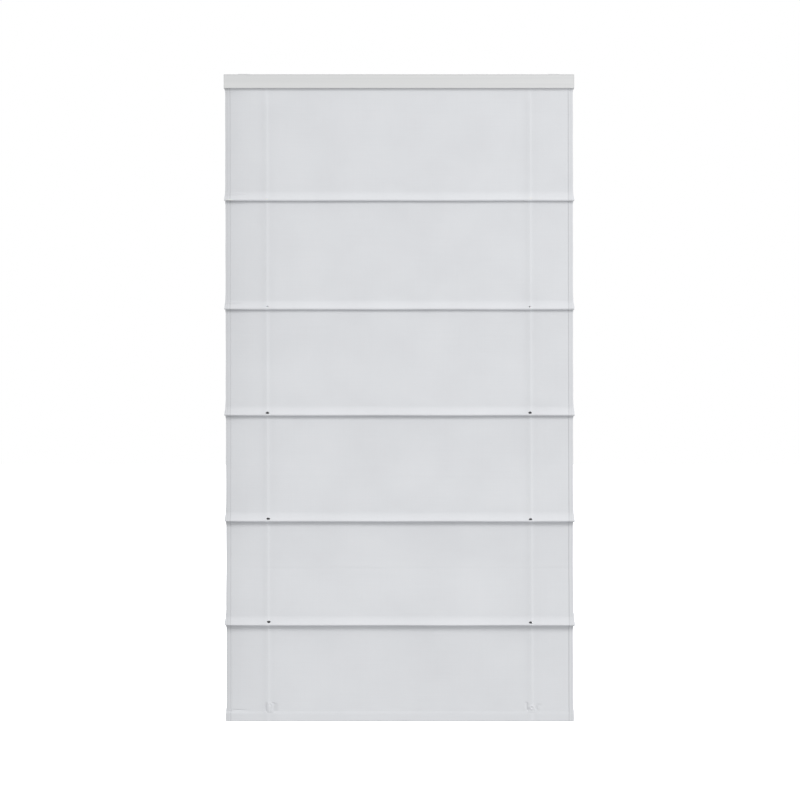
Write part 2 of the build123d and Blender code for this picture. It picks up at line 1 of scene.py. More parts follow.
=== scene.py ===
import bpy
import json
import math
import numpy as np
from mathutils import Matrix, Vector


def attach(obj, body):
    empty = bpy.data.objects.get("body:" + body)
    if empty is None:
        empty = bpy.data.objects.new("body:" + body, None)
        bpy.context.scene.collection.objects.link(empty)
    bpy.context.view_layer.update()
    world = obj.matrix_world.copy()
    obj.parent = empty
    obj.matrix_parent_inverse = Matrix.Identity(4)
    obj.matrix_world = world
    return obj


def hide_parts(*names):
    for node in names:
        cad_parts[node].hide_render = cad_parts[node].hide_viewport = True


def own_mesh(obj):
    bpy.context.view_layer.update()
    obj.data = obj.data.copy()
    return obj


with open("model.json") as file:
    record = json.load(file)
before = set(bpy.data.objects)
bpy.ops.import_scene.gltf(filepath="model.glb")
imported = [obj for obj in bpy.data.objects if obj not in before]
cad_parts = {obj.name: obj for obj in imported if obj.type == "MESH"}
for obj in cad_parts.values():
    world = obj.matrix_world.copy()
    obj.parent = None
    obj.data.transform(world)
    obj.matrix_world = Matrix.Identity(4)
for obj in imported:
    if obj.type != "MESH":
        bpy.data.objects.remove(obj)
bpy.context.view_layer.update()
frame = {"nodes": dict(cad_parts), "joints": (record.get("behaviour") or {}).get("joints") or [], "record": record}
nodes = frame["nodes"]
scene = bpy.context.scene
MM = 0.001

# ------------------------------------------------------------------ levels of the blind, in millimetres
RAIL_TOP, RAIL_BOTTOM = -2.0, -37.0
LIPS = [RAIL_TOP - d for d in (318.5, 591.5, 858.0, 1124.0, 1384.5)]   # lower edges of the tucks
TUCK_R = 5.2
TUCK_DEPTH, TUCK_RISE = 10.0, 20.0
CZ = [z + TUCK_R for z in LIPS]                # centres of the rounded edges
TOPS = [c + TUCK_RISE for c in CZ]             # where the cloth starts to swing forward
SEAM_DROP = 6.3
FRONT = -14.4                                  # front face of the hanging cloth
CLOTH = 0.6
BOTTOM = -1628.0
HEM_TOP = -1605.0
HEM_JOIN = HEM_TOP + 3.0
HALF = 437.5
CORD_X, CORD_Y = 331.0, -6.0
SHAFT_Y, SHAFT_Z = 3.7, -19.0
HEM_W = 14.0                                   # side hems
HEM_SEAM_IN = 12.6
lift = next(j for j in frame["joints"] if j["name"] == "lift")["range_m"][1] * 1000.0
ratio = {c["joint"]: c["ratio"] for c in frame["record"]["behaviour"]["couplings"]}
RISE = [0.0] + [ratio["fold_%d_rise" % i] * lift for i in range(1, 6)] + [lift]
rng = np.random.default_rng(7)


def smooth(a, b, v):
    t = np.clip((np.asarray(v, float) - a) / (b - a), 0.0, 1.0)
    return t * t * (3.0 - 2.0 * t)


def gauss(v, w):
    return np.exp(-((np.asarray(v, float) / w) ** 2))


# ------------------------------------------------------------------ the cloth's own shape
def drift(z):
    """The shade hangs a little to the right towards its foot."""
    return 2.4 * np.clip((RAIL_BOTTOM - np.asarray(z, float)) / 1590.0, 0.0, 1.0)


def cord_line(z):
    return np.interp(-np.asarray(z, float), [40.0, 591.0, 1389.0, 1590.0], [-1.4, -1.2, 2.2, 4.2])


WAVES = [
    (rng.uniform(0.0035, 0.016), rng.uniform(-0.012, 0.012), rng.uniform(0, 2 * math.pi), rng.uniform(0.25, 1.0))
    for _ in range(9)
]
RIPPLES = [(rng.uniform(0.03, 0.11), rng.uniform(0, 2 * math.pi), rng.uniform(0.3, 1.0)) for _ in range(8)]
LONG = [(rng.uniform(0.004, 0.022), rng.uniform(0, 2 * math.pi), rng.uniform(0.4, 1.0)) for _ in range(6)]


def waves(x, z):
    d = 0.0
    for kx, kz, p, a in WAVES:
        d = d + a * np.sin(kx * 2 * math.pi * 0.32 * x + kz * 2 * math.pi * 0.32 * z + p)
    return d / 4.0


def ripples(x):
    d = 0.0
    for k, p, a in RIPPLES:
        d = d + a * np.sin(k * x + p)
    return d / 4.0


def long_line(x, shift=0.0):
    d = 0.0
    for k, p, a in LONG:
        d = d + a * np.sin(k * x + p + shift)
    return d / 3.2


def side_relief(x, z):
    """Side hems: a second ply, sewn down along its inner edge and again near the outer one. The left edge curls back a little."""
    e = HALF - np.abs(x)
    up = 0.35 * smooth(HEM_W + 0.6, HEM_W - 0.8, e)
    groove = -0.75 * gauss(e - HEM_SEAM_IN, 1.0) - np.where(x < 0, 0.45, 0.25) * gauss(e - 5.6, 1.0)
    ridge = 0.30 * gauss(e - 8.8, 1.7)
    edge = -0.30 * gauss(e, 1.6)
    pull = 0.16 * smooth(HEM_W + 4.0, 0.0, e) * np.sin(z / 9.0 + 1.7 * np.sin(z / 31.0) + np.where(x > 0, 0.0, 2.0))
    curl = -2.6 * smooth(-352.0, -437.5, x) ** 1.4
    return up + groove + ridge + edge + pull + curl


def cord_relief(x, z):
    """The ring tapes and the cords stand behind the cloth and push it forward a little."""
    d = 0.0
    for s in (-1.0, 1.0):
        u = x - (s * CORD_X + cord_line(z) - drift(z))
        d = d + 0.95 * gauss(u, 9.5) + 0.30 * gauss(u, 1.5)
        for q in (-4.6, 4.6):
            d = d - 0.16 * gauss(u - q, 0.8)
    return d


def foot_relief(x, z):
    """Puckers over the cord adjusters, just above the hem."""
    z = np.asarray(z, float)
    u, v = x + 325.0, z + 1592.5
    reach = smooth(-13.0, -7.0, v) * smooth(15.0, 9.0, v)
    d = 1.5 * gauss(u, 8.0) * reach
    d = d - 2.5 * gauss(u + 11.6 - 0.012 * v * v, 1.5) * smooth(-11.0, -7.0, v) * smooth(14.0, 9.0, v)
    d = d - 2.7 * gauss(u - 10.2 + 0.02 * np.maximum(0.0, v) ** 2, 1.9) * smooth(-12.0, -8.0, v) * smooth(14.0, 9.0, v)
    d = d - 1.9 * gauss(np.hypot(u + 0.6, 0.8 * (v - 7.0)), 1.9)
    d = d - 0.9 * gauss(u - 0.25 * (v + 4.0), 1.2) * smooth(8.0, 3.0, v) * smooth(-11.0, -6.0, v)
    d = d - 1.3 * gauss(v - 11.0 + 0.05 * (u - 5.0) ** 2, 1.2) * gauss(u - 5.0, 5.0)
    u, v = x - 331.5, z + 1592.5
    r = np.hypot(u, v)
    d = d + 1.3 * gauss(r - 4.3, 2.0) - 1.3 * gauss(r, 1.7)
    d = d - 2.5 * gauss(u + 11.4 + 0.10 * v, 1.6) * smooth(-10.0, -6.0, v) * smooth(15.0, 10.0, v)
    d = d - 1.9 * gauss(u - 11.6 - 0.55 * np.maximum(0.0, v + 1.0), 1.9) * smooth(-8.0, -4.0, v) * smooth(14.0, 8.0, v)
    d = d + 0.9 * gauss(u - 16.0, 3.0) * gauss(v + 3.0, 5.0) + 0.7 * gauss(u + 16.0, 3.0) * gauss(v + 2.0, 6.0)
    d = 1.35 * d
    # a short slack crease at the left end of the hem
    d = d - 1.9 * gauss(z - (HEM_TOP + 6.0) + 0.02 * (x + 417.0), 1.5) * smooth(-421.0, -416.0, x) * smooth(-384.0, -404.0, x)
    return d


def panel_relief(x, z, top, foot):
    """Everything that makes a panel of cloth less than flat. top and foot are where it leaves the tuck above and meets the one below."""
    free = smooth(top - 27.0, top - 75.0, z) * smooth(foot + 2.0, foot + 45.0, z)
    d = 0.85 * waves(x, z) * free
    d = d + 0.22 * ripples(x) * smooth(top - 27.0, top - 45.0, z) * gauss(z - top + 30.0, 55.0)
    d = d + 0.30 * ripples(x + 90.0) * gauss(z - foot, 22.0) * smooth(foot, foot + 10.0, z)
    for zc, k in ((-1012.0, 0.34), (-1238.0, 0.42), (-700.0, 0.12), (-430.0, 0.12)):
        line = z - zc - 1.6 * long_line(x, zc)
        d = d + k * (0.6 + 0.4 * long_line(x * 1.7, zc)) * (gauss(line, 2.4) - 0.6 * gauss(line + 5.0, 4.0))
    return d


def half_width(z, top, foot):
    u = np.clip((top - np.asarray(z, float)) / (top - foot), 0.0, 1.0)
    return 437.5 - 1.25 * np.sin(math.pi * u) ** 0.8


def columns():
    inner = list(np.arange(-420.0, 420.1, 8.4))
    keep = [x for x in inner if all(abs(x - s * CORD_X) > 17.0 for s in (-1, 1))]
    for s in (-1.0, 1.0):
        keep += [s * CORD_X + u for u in (-16, -13, -11, -9.4, -8.3, -7.4, -6.4, -5.4, -4.6, -3.8, -2.8, -1.9, -1.0, 0, 1.0, 1.9, 2.8, 3.8, 4.6, 5.4, 6.4, 7.4, 8.3, 9.4, 11, 13, 16)]
        keep += [s * (HALF - e) for e in (0.0, 0.6, 1.4, 2.6, 4.2, 6.5, 9.0, 10.6, 11.4, 11.9, 12.5, 13.2, 14.0, 14.8, 16.0)]
    return np.array(sorted(set(round(v, 3) for v in keep)))


COLS = columns()


# ------------------------------------------------------------------ meshes
def build(name, verts, faces, material, smooth_shade=True, sharp=None):
    me = bpy.data.meshes.new(name)
    me.from_pydata([tuple(v) for v in verts], [], faces)
    me.validate()
    me.materials.append(material)
    me.polygons.foreach_set("use_smooth", [smooth_shade] * len(me.polygons))
    if sharp:
        attribute = me.attributes.new("sharp_edge", "BOOLEAN", "EDGE")
        flags = np.zeros(len(me.edges), bool)
        for e in me.edges:
            if (min(e.vertices), max(e.vertices)) in sharp:
                flags[e.index] = True
        attribute.data.foreach_set("value", flags)
    me.update()
    ob = bpy.data.objects.new(name, me)
    scene.collection.objects.link(ob)
    return ob


def strip(name, cols, path, place, material, back=None, hole=None):
    """A closed, thin sheet: a grid of cols along the width by the rows of path, its back face offset by the cloth's thickness.
    place(x, row) gives the front point and the unit direction out of the front; hole(x, row) says which cells are cut out."""
    nc, nr = len(cols), len(path)
    front = np.zeros((nr, nc, 3))
    rear = np.zeros((nr, nc, 3))
    for i, row in enumerate(path):
        p, n = place(cols, row)
        thick = CLOTH if back is None else back(cols)
        front[i] = p
        rear[i] = p - n * np.asarray(thick)[..., None] if np.ndim(thick) else p - n * thick
    verts = np.concatenate([front.reshape(-1, 3), rear.reshape(-1, 3)]) * MM
    off = nr * nc
    keep = np.ones((nr - 1, nc - 1), bool)
    if hole is not None:
        for i in range(nr - 1):
            for j in range(nc - 1):
                if hole(0.5 * (cols[j] + cols[j + 1]), i):
                    keep[i, j] = False
    faces, count = [], {}
    for i in range(nr - 1):
        for j in range(nc - 1):
            if not keep[i, j]:
                continue
            a, b, c, d = i * nc + j, i * nc + j + 1, (i + 1) * nc + j + 1, (i + 1) * nc + j
            faces.append((a, d, c, b))
            faces.append((off + a, off + b, off + c, off + d))
            for u, v in ((a, d), (d, c), (c, b), (b, a)):
                key = (min(u, v), max(u, v))
                count.setdefault(key, []).append((u, v))
    sharp = set()
    for key, uses in count.items():
        if len(uses) == 1:
            u, v = uses[0]
            faces.append((v, u, off + u, off + v))
            sharp.add((min(u, v), max(u, v)))
            sharp.add((min(off + u, off + v), max(off + u, off + v)))
    ob = build(name, verts, faces, material, sharp=sharp)
    clean_loose(ob)
    return ob


def clean_loose(ob):
    me = ob.data
    used = np.zeros(len(me.vertices), bool)
    for p in me.polygons:
        used[list(p.vertices)] = True
    if used.all():
        return
    import bmesh
    bm = bmesh.new()
    bm.from_mesh(me)
    bm.verts.ensure_lookup_table()
    bmesh.ops.delete(bm, geom=[bm.verts[i] for i in np.where(~used)[0]], context="VERTS")
    bm.to_mesh(me)
    bm.free()


def rows(a, b, step, ends=4):
    """Levels from a down to b, closer together near both ends."""
    n = max(6, int(abs(a - b) / step))
    t = np.linspace(0.0, 1.0, n)
    levels = list(a + (b - a) * t)
    d = (b - a) / (n - 1)
    extra = [a + d * f for f in (0.12, 0.35)] + [b - d * f for f in (0.12, 0.35)]
    return sorted(set(levels + extra), reverse=True)


# ------------------------------------------------------------------ materials
def new_material(name):
    m = bpy.data.materials.new(name)
    m.use_nodes = True
    t = m.node_tree
    for n in list(t.nodes):
        t.nodes.remove(n)
    out = t.nodes.new("ShaderNodeOutputMaterial")
    bsdf = t.nodes.new("ShaderNodeBsdfPrincipled")
    t.links.new(bsdf.outputs[0], out.inputs[0])
    return m, t, bsdf


def node(t, kind, **values):
    n = t.nodes.new(kind)
    for k, v in values.items():
        if k in n.inputs:
            n.inputs[k].default_value = v
        else:
            setattr(n, k, v)
    return n


def maths(t, op, a, b=None, c=None):
    n = t.nodes.new("ShaderNodeMath")
    n.operation = op
    for i, v in enumerate((a, b, c)):
        if v is None:
            continue
        if isinstance(v, (int, float)):
            n.inputs[i].default_value = v
        else:
            t.links.new(v, n.inputs[i])
    return n.outputs[0]


def coords(t, scale=(1, 1, 1)):
    tc = t.nodes.new("ShaderNodeTexCoord")
    mp = t.nodes.new("ShaderNodeMapping")
    mp.inputs["Scale"].default_value = scale
    t.links.new(tc.outputs["Object"], mp.inputs[0])
    return mp.outputs[0]


def noise(t, vector, scale, detail=2.0, rough=0.5):
    n = node(t, "ShaderNodeTexNoise", Scale=scale, Detail=detail, Roughness=rough)
    t.links.new(vector, n.inputs["Vector"])
    return n.outputs["Fac"]


def ramp(t, fac, stops):
    r = t.nodes.new("ShaderNodeValToRGB")
    r.color_ramp.elements[0].position, r.color_ramp.elements[0].color = stops[0][0], (*stops[0][1], 1)
    r.color_ramp.elements[1].position, r.color_ramp.elements[1].color = stops[-1][0], (*stops[-1][1], 1)
    for pos, col in stops[1:-1]:
        e = r.color_ramp.elements.new(pos)
        e.color = (*col, 1)
    t.links.new(fac, r.inputs[0])
    return r.outputs[0]


def bump(t, height, distance, strength, bsdf, normal=None):
    b = t.nodes.new("ShaderNodeBump")
    b.inputs["Distance"].default_value = distance
    b.inputs["Strength"].default_value = strength
    t.links.new(height, b.inputs["Height"])
    if normal is not None:
        t.links.new(normal, b.inputs["Normal"])
    t.links.new(b.outputs[0], bsdf.inputs["Normal"])
    return b.outputs[0]


def weave(t, pitch_x, pitch_z):
    """Plain weave: warp and weft threads that pass over and under each other."""
    tc = t.nodes.new("ShaderNodeTexCoord")
    sep = t.nodes.new("ShaderNodeSeparateXYZ")
    t.links.new(tc.outputs["Object"], sep.inputs[0])
    wob = noise(t, coords(t, (1, 1, 1)), 90.0, 2.0)
    wx = maths(t, "MULTIPLY_ADD", wob, 0.0004, sep.outputs["X"])
    wz = maths(t, "MULTIPLY_ADD", wob, 0.0004, sep.outputs["Z"])
    sx = maths(t, "SINE", maths(t, "MULTIPLY", wx, 2 * math.pi / pitch_x))
    sz = maths(t, "SINE", maths(t, "MULTIPLY", wz, 2 * math.pi / pitch_z))
    hx = maths(t, "SINE", maths(t, "MULTIPLY", wx, math.pi / pitch_x))
    hz = maths(t, "SINE", maths(t, "MULTIPLY", wz, math.pi / pitch_z))
    over = maths(t, "MULTIPLY", hx, hz)
    threads = maths(t, "MULTIPLY", maths(t, "ADD", sx, sz), 0.25)
    return maths(t, "MULTIPLY_ADD", over, 0.35, threads), sep


def cloth_material():
    m, t, b = new_material("cloth")
    height, sep = weave(t, 0.00046, 0.00052)
    # slubs: thin lighter and darker weft threads
    slub = noise(t, coords(t, (6, 6, 900)), 1.0, 3.0, 0.6)
    warp = noise(t, coords(t, (700, 6, 5)), 1.0, 2.0, 0.5)
    blotch = noise(t, coords(t, (1, 1, 1)), 7.0, 3.0, 0.55)
    base = ramp(t, blotch, [(0.25, (0.698, 0.706, 0.727)), (0.55, (0.720, 0.729, 0.750)), (0.8, (0.736, 0.744, 0.764))])
    # the cloth hangs a little to the right towards its foot, so the bands are laid out from its own middle
    own = maths(t, "MULTIPLY_ADD", maths(t, "ADD", sep.outputs["Z"], 0.037), 0.00151, sep.outputs["X"])
    ax = maths(t, "ABSOLUTE", own)
    left = maths(t, "LESS_THAN", own, 0.0)
    # the tapes behind show faintly through the cloth as lighter bands, brightened further by a painted highlight of the
    # ridge they raise, between darker margins of painted shade
    sway = maths(t, "MULTIPLY_ADD", sep.outputs["Z"], -0.0022, -0.0016)
    u = maths(t, "SUBTRACT", maths(t, "ABSOLUTE", maths(t, "SUBTRACT", own, sway)), CORD_X * MM)

    def bell(value, width):
        q = maths(t, "DIVIDE", value, width)
        return maths(t, "POWER", math.e, maths(t, "MULTIPLY", maths(t, "MULTIPLY", q, q), -1.0))

    light = bell(u, 0.0060)
    margin_painted_shade = bell(u, 0.0165)
    shade = maths(t, "MULTIPLY_ADD", light, 0.055, maths(t, "MULTIPLY_ADD", margin_painted_shade, -0.034, 1.0))
    fine = maths(t, "MULTIPLY_ADD", slub, 0.05, maths(t, "MULTIPLY_ADD", warp, 0.03, 0.96))
    # side hems: two plies, a little darker in tone, with painted shade along the sewn lines; painted shade also darkens
    # the left side
    e = maths(t, "SUBTRACT", HALF * MM, ax)
    hem = maths(t, "LESS_THAN", e, (HEM_W - 0.6) * MM)
    plies_and_painted_shade = maths(t, "MULTIPLY_ADD", hem, -0.022, 1.0)
    plies_and_painted_shade = maths(t, "MULTIPLY", plies_and_painted_shade, maths(t, "MULTIPLY_ADD", bell(maths(t, "SUBTRACT", e, HEM_SEAM_IN * MM), 0.0012), -0.15, 1.0))
    plies_and_painted_shade = maths(t, "MULTIPLY", plies_and_painted_shade, maths(t, "MULTIPLY_ADD", bell(maths(t, "SUBTRACT", e, 0.0056), 0.0011), -0.06, 1.0))
    # painted shade: the left edge darker, fading inward over about 35 mm
    edge_painted_shade = maths(t, "POWER", math.e, maths(t, "DIVIDE", e, -0.034))
    plies_and_painted_shade = maths(t, "MULTIPLY", plies_and_painted_shade, maths(t, "MULTIPLY_ADD", maths(t, "MULTIPLY", edge_painted_shade, left), -0.085, 1.0))
    total = maths(t, "MULTIPLY", maths(t, "MULTIPLY", shade, fine), plies_and_painted_shade)
    mix = t.nodes.new("ShaderNodeVectorMath")
    mix.operation = "SCALE"
    t.links.new(base, mix.inputs[0])
    t.links.new(total, mix.inputs["Scale"])
    t.links.new(mix.outputs[0], b.inputs["Base Color"])
    b.inputs["Roughness"].default_value = 0.86
    b.inputs["Specular IOR Level"].default_value = 0.22
    b.inputs["Sheen Weight"].default_value = 0.12
    b.inputs["Sheen Roughness"].default_value = 0.5
    soft = noise(t, coords(t, (1, 1, 1)), 55.0, 4.0, 0.6)
    n1 = bump(t, soft, 0.0006, 0.18, b)
    bump(t, height, 0.00012, 0.45, b, n1)
    return m


def thread_material(name, colour, pitch=0.0005):
    m, t, b = new_material(name)
    tc = t.nodes.new("ShaderNodeTexCoord")
    sep = t.nodes.new("ShaderNodeSeparateXYZ")
    t.links.new(tc.outputs["Object"], sep.inputs[0])
    twist = maths(t, "SINE", maths(t, "MULTIPLY", maths(t, "ADD", sep.outputs["X"], sep.outputs["Z"]), 2 * math.pi / pitch))
    grain = noise(t, coords(t, (1, 1, 1)), 900.0, 2.0)
    c = ramp(t, grain, [(0.3, tuple(v * 0.93 for v in colour)), (0.7, colour)])
    t.links.new(c, b.inputs["Base Color"])
    b.inputs["Roughness"].default_value = 0.6
    b.inputs["Sheen Weight"].default_value = 0.2
    bump(t, twist, 0.0001, 0.5, b)
    return m


def tape_material():
    m, t, b = new_material("ring_tape")
    tc = t.nodes.new("ShaderNodeTexCoord")
    sep = t.nodes.new("ShaderNodeSeparateXYZ")
    t.links.new(tc.outputs["Object"], sep.inputs[0])
    rib = maths(t, "SINE", maths(t, "MULTIPLY", sep.outputs["Z"], 2 * math.pi / 0.0011))
    warp = maths(t, "SINE", maths(t, "MULTIPLY", sep.outputs["X"], 2 * math.pi / 0.0006))
    h = maths(t, "MULTIPLY_ADD", warp, 0.35, rib)
    grain = noise(t, coords(t, (300, 300, 60)), 1.0, 3.0)
    c = ramp(t, grain, [(0.3, (0.70, 0.70, 0.71)), (0.7, (0.80, 0.80, 0.80))])
    t.links.new(c, b.inputs["Base Color"])
    b.inputs["Roughness"].default_value = 0.75
    b.inputs["Sheen Weight"].default_value = 0.15
    bump(t, h, 0.00018, 0.6, b)
    return m


def cord_material():
    m, t, b = new_material("braided_cord")
    tc = t.nodes.new("ShaderNodeTexCoord")
    sep = t.nodes.new("ShaderNodeSeparateXYZ")
    t.links.new(tc.outputs["Object"], sep.inputs[0])
    up = maths(t, "MULTIPLY", sep.outputs["Z"], 2 * math.pi / 0.0016)
    a = maths(t, "SINE", maths(t, "ADD", up, maths(t, "MULTIPLY", sep.outputs["X"], 3200.0)))
    c2 = maths(t, "SINE", maths(t, "SUBTRACT", up, maths(t, "MULTIPLY", sep.outputs["X"], 3200.0)))
    braid = maths(t, "MAXIMUM", a, c2)
    # the braid's grooves are coloured darker: painted shade between the strands
    shade = maths(t, "MULTIPLY_ADD", braid, 0.5, 0.5)
    c = ramp(t, shade, [(0.0, (0.62, 0.62, 0.61)), (1.0, (0.82, 0.82, 0.81))])
    t.links.new(c, b.inputs["Base Color"])
    b.inputs["Roughness"].default_value = 0.55
    bump(t, braid, 0.00015, 0.7, b)
    return m


def paint_material():
    m, t, b = new_material("rail_paint")
    streak = noise(t, coords(t, (0.9, 40, 260)), 1.0, 3.0, 0.5)
    peel = noise(t, coords(t, (1, 1, 1)), 900.0, 2.0)
    cloud = noise(t, coords(t, (1.3, 8, 8)), 1.0, 2.0)
    c1 = ramp(t, streak, [(0.35, (0.672, 0.675, 0.675)), (0.65, (0.702, 0.704, 0.702))])
    c2 = ramp(t, cloud, [(0.3, (0.985, 0.985, 0.99)), (0.7, (1.0, 1.0, 0.995))])
    mx = node(t, "ShaderNodeMix", data_type="RGBA", blend_type="MULTIPLY")
    mx.inputs[0].default_value = 1.0
    t.links.new(c1, mx.inputs[6])
    t.links.new(c2, mx.inputs[7])
    t.links.new(mx.outputs[2], b.inputs["Base Color"])
    r = maths(t, "MULTIPLY_ADD", peel, 0.10, 0.36)
    t.links.new(r, b.inputs["Roughness"])
    h = maths(t, "MULTIPLY_ADD", streak, 0.6, maths(t, "MULTIPLY", peel, 0.4))
    bump(t, h, 0.00025, 0.10, b)
    return m


def plastic_material(name, colour, rough, grain_scale=1400.0, clear=0.0):
    m, t, b = new_material(name)
    g = noise(t, coords(t, (1, 1, 1)), grain_scale, 3.0)
    flow = noise(t, coords(t, (60, 60, 60)), 1.0, 2.0)
    c = ramp(t, flow, [(0.3, tuple(v * 0.955 for v in colour)), (0.7, colour)])
    t.links.new(c, b.inputs["Base Color"])
    t.links.new(maths(t, "MULTIPLY_ADD", g, 0.12, rough - 0.06), b.inputs["Roughness"])
    b.inputs["Subsurface Weight"].default_value = clear
    b.inputs["Subsurface Scale"].default_value = 0.002
    bump(t, g, 0.0001, 0.12, b)
    return m


def steel_material(name, colour, rough, stretch):
    m, t, b = new_material(name)
    brush = noise(t, coords(t, stretch), 1.0, 4.0, 0.6)
    spangle = node(t, "ShaderNodeTexVoronoi", Scale=260.0)
    t.links.new(coords(t, (1, 1, 1)), spangle.inputs["Vector"])
    mixf = maths(t, "MULTIPLY_ADD", spangle.outputs["Distance"], 0.25, maths(t, "MULTIPLY", brush, 0.75))
    c = ramp(t, mixf, [(0.2, tuple(v * 0.86 for v in colour)), (0.7, colour)])
    t.links.new(c, b.inputs["Base Color"])
    b.inputs["Metallic"].default_value = 1.0
    t.links.new(maths(t, "MULTIPLY_ADD", brush, 0.18, rough - 0.09), b.inputs["Roughness"])
    bump(t, brush, 0.00008, 0.25, b)
    return m


MAT = {
    "cloth": cloth_material(),
    "thread": thread_material("sewing_thread", (0.80, 0.81, 0.83)),
    # near-black patch colour: painted shadow inside the tucks' slots
    "slot_shade": thread_material("slot_shadow_patch", (0.035, 0.035, 0.037)),
    "tape": tape_material(),
    "cord": cord_material(),
    "rail_paint": paint_material(),
    "cap_plastic": plastic_material("cap_plastic", (0.66, 0.665, 0.66), 0.42),
    "bracket_steel": steel_material("bracket_steel", (0.66, 0.67, 0.68), 0.38, (40, 400, 400)),
    "spring_steel": steel_material("spring_steel", (0.36, 0.37, 0.40), 0.30, (20, 600, 600)),
    "mechanism_plastic": plastic_material("mechanism_plastic", (0.60, 0.60, 0.585), 0.46),
    "guide_plastic": plastic_material("guide_plastic", (0.66, 0.66, 0.65), 0.30, 1800.0, 0.15),
    "shaft_steel": steel_material("shaft_steel", (0.52, 0.53, 0.54), 0.32, (6, 900, 900)),
    "rod_plastic": plastic_material("rod_plastic", (0.76, 0.755, 0.73), 0.5, 700.0, 0.1),
    "ring_plastic": plastic_material("ring_plastic", (0.78, 0.78, 0.765), 0.28, 1800.0, 0.25),
    "bar_aluminium": steel_material("bar_aluminium", (0.74, 0.745, 0.755), 0.35, (8, 700, 700)),
}
SLOT_MATERIAL = {s["node"]: s["material_slot"] for s in frame["record"]["subparts"]}

# ------------------------------------------------------------------ camera first
camera = bpy.data.cameras.new("camera")
camera.sensor_width = 36.0
cam = bpy.data.objects.new("camera", camera)
scene.collection.objects.link(cam)
DIST = 4.6
FRAME_W = 800 * 2.5125 * MM
plane_y = -0.016
camera.lens = 36.0 * DIST / FRAME_W
px = 2.5125 * MM
target = Vector(((400.0 - 398.95) * px, plane_y, (RAIL_TOP - (400.0 - 74.45) * 2.5125) * MM))
cam.location = (target.x, plane_y - DIST, target.z)
cam.rotation_euler = (math.radians(90), 0, 0)
scene.camera = cam


# ------------------------------------------------------------------ cloth pieces
def squash_to(piece, start_z, far_z, dz, dy, start_out=0.0, far_out=0.0):
    """Gives the piece its own copy of its mesh. start_z, far_z, dz and dy, in millimetres, are not used.
    start_out and far_out are not used."""
    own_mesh(piece)


BODY = ["headrail"] + ["fold_%d" % i for i in range(1, 6)] + ["bottom_rail"]
PANEL_TOP = [RAIL_BOTTOM] + LIPS                 # where each panel comes into view
PANEL_FOOT = TOPS + [HEM_JOIN]                   # where it ends in the next tuck, or in the hem
SEAMS = [t - SEAM_DROP for t in TOPS]
SLOT_Z = [z + 7.6 for z in LIPS]
panels = []
for k in range(6):
    top, foot = PANEL_TOP[k], PANEL_FOOT[k]
    pitch = (top - foot) - (RISE[k + 1] - RISE[k])
    h = (top - foot) / 2.0
    c = pitch / 2.0
    panels.append((top, foot, top - h, h - c, 0.985 * math.sqrt(max(0.5, (h - c) * c))))


LEAN = (0.0, 0.0, 2.9, 5.8, 8.4, 1.8)           # the lower tucks stand out further, and bring the cloth above them forward
LEAN_FROM = 150.0


def lean(k, x):
    """How far the cloth stands forward at the foot of panel k, across the width."""
    across = 0.72 + 0.42 * gauss(x - 30.0, 300.0) if k == 2 else 0.96 + 0.06 * np.tanh(x / 150.0)
    return LEAN[k] * across * (1.0 + 0.08 * long_line(x * 0.8, 5.0 + k))


def relief(x, z, k):
    """How far the front of the cloth stands out of its plane in panel k."""
    top = PANEL_TOP[k] + (27.0 if k else 0.0)
    foot = PANEL_FOOT[k]
    d = panel_relief(x, z, top, foot) + side_relief(x, z) + foot_relief(x, z)
    d = d + lean(k, x) * smooth(foot + LEAN_FROM, foot - 6.0, z)
    cord = cord_relief(x, z)
    if k == 0:
        cord = cord * smooth(RAIL_BOTTOM - 4.0, RAIL_BOTTOM - 40.0, z)
        d = d * smooth(RAIL_BOTTOM + 1.0, RAIL_BOTTOM - 22.0, z)
    return d + cord


def spread(cols, z, k):
    """Where a column of the cloth hangs: the panels draw in a little between the tucks, which keep their full width."""
    top, foot = PANEL_TOP[k], PANEL_FOOT[k]
    u = np.clip((top - z) / (top - foot), 0.0, 1.0)
    near = smooth(0.0, 0.035, u) * smooth(1.0, 0.93, u)
    pull = -(0.5 + 0.22 * k) * near * smooth(340.0, HALF, np.abs(cols))
    wobble = 0.18 * np.sin(z / 23.0 + 2.0 * k) * smooth(400.0, HALF, np.abs(cols)) * near
    return cols + np.sign(cols) * (pull + wobble) + drift(z)


def panel_place(k):
    def place(cols, z):
        p = np.stack([spread(cols, z, k), FRONT - relief(cols, z, k), np.full_like(cols, z)], 1)
        return p, np.tile([0.0, -1.0, 0.0], (len(cols), 1))
    return place


def hem_back(cols):
    e = HALF - np.abs(cols)
    return CLOTH + 0.45 * smooth(HEM_W + 0.4, HEM_W - 0.4, e)


def stitch_mesh(lines):
    """Short stitches along each line of (start, end, out) triples: a rounded thread that dips into the cloth at both ends."""
    verts, faces = [], []
    sides = 4
    for a, b, out in lines:
        a, b, out = np.asarray(a, float), np.asarray(b, float), np.asarray(out, float)
        run = b - a
        size = np.linalg.norm(run)
        if size < 0.2:
            continue
        run = run / size
        side = np.cross(run, out)
        base = len(verts)
        for t, lift_, r in ((0.0, -0.22, 0.10), (0.22, 0.05, 0.19), (0.78, 0.05, 0.19), (1.0, -0.22, 0.10)):
            c = a + (b - a) * t + out * lift_
            for s_ in range(sides):
                g = 2 * math.pi * s_ / sides
                verts.append(c + r * (math.cos(g) * side + math.sin(g) * out))
        for q in range(3):
            for s_ in range(sides):
                n_ = (s_ + 1) % sides
                faces.append((base + q * sides + s_, base + q * sides + n_, base + (q + 1) * sides + n_, base + (q + 1) * sides + s_))
        faces.append(tuple(base + s_ for s_ in range(sides))[::-1])
        faces.append(tuple(base + 3 * sides + s_ for s_ in range(sides)))
    return np.array(verts).reshape(-1, 3) * MM, faces


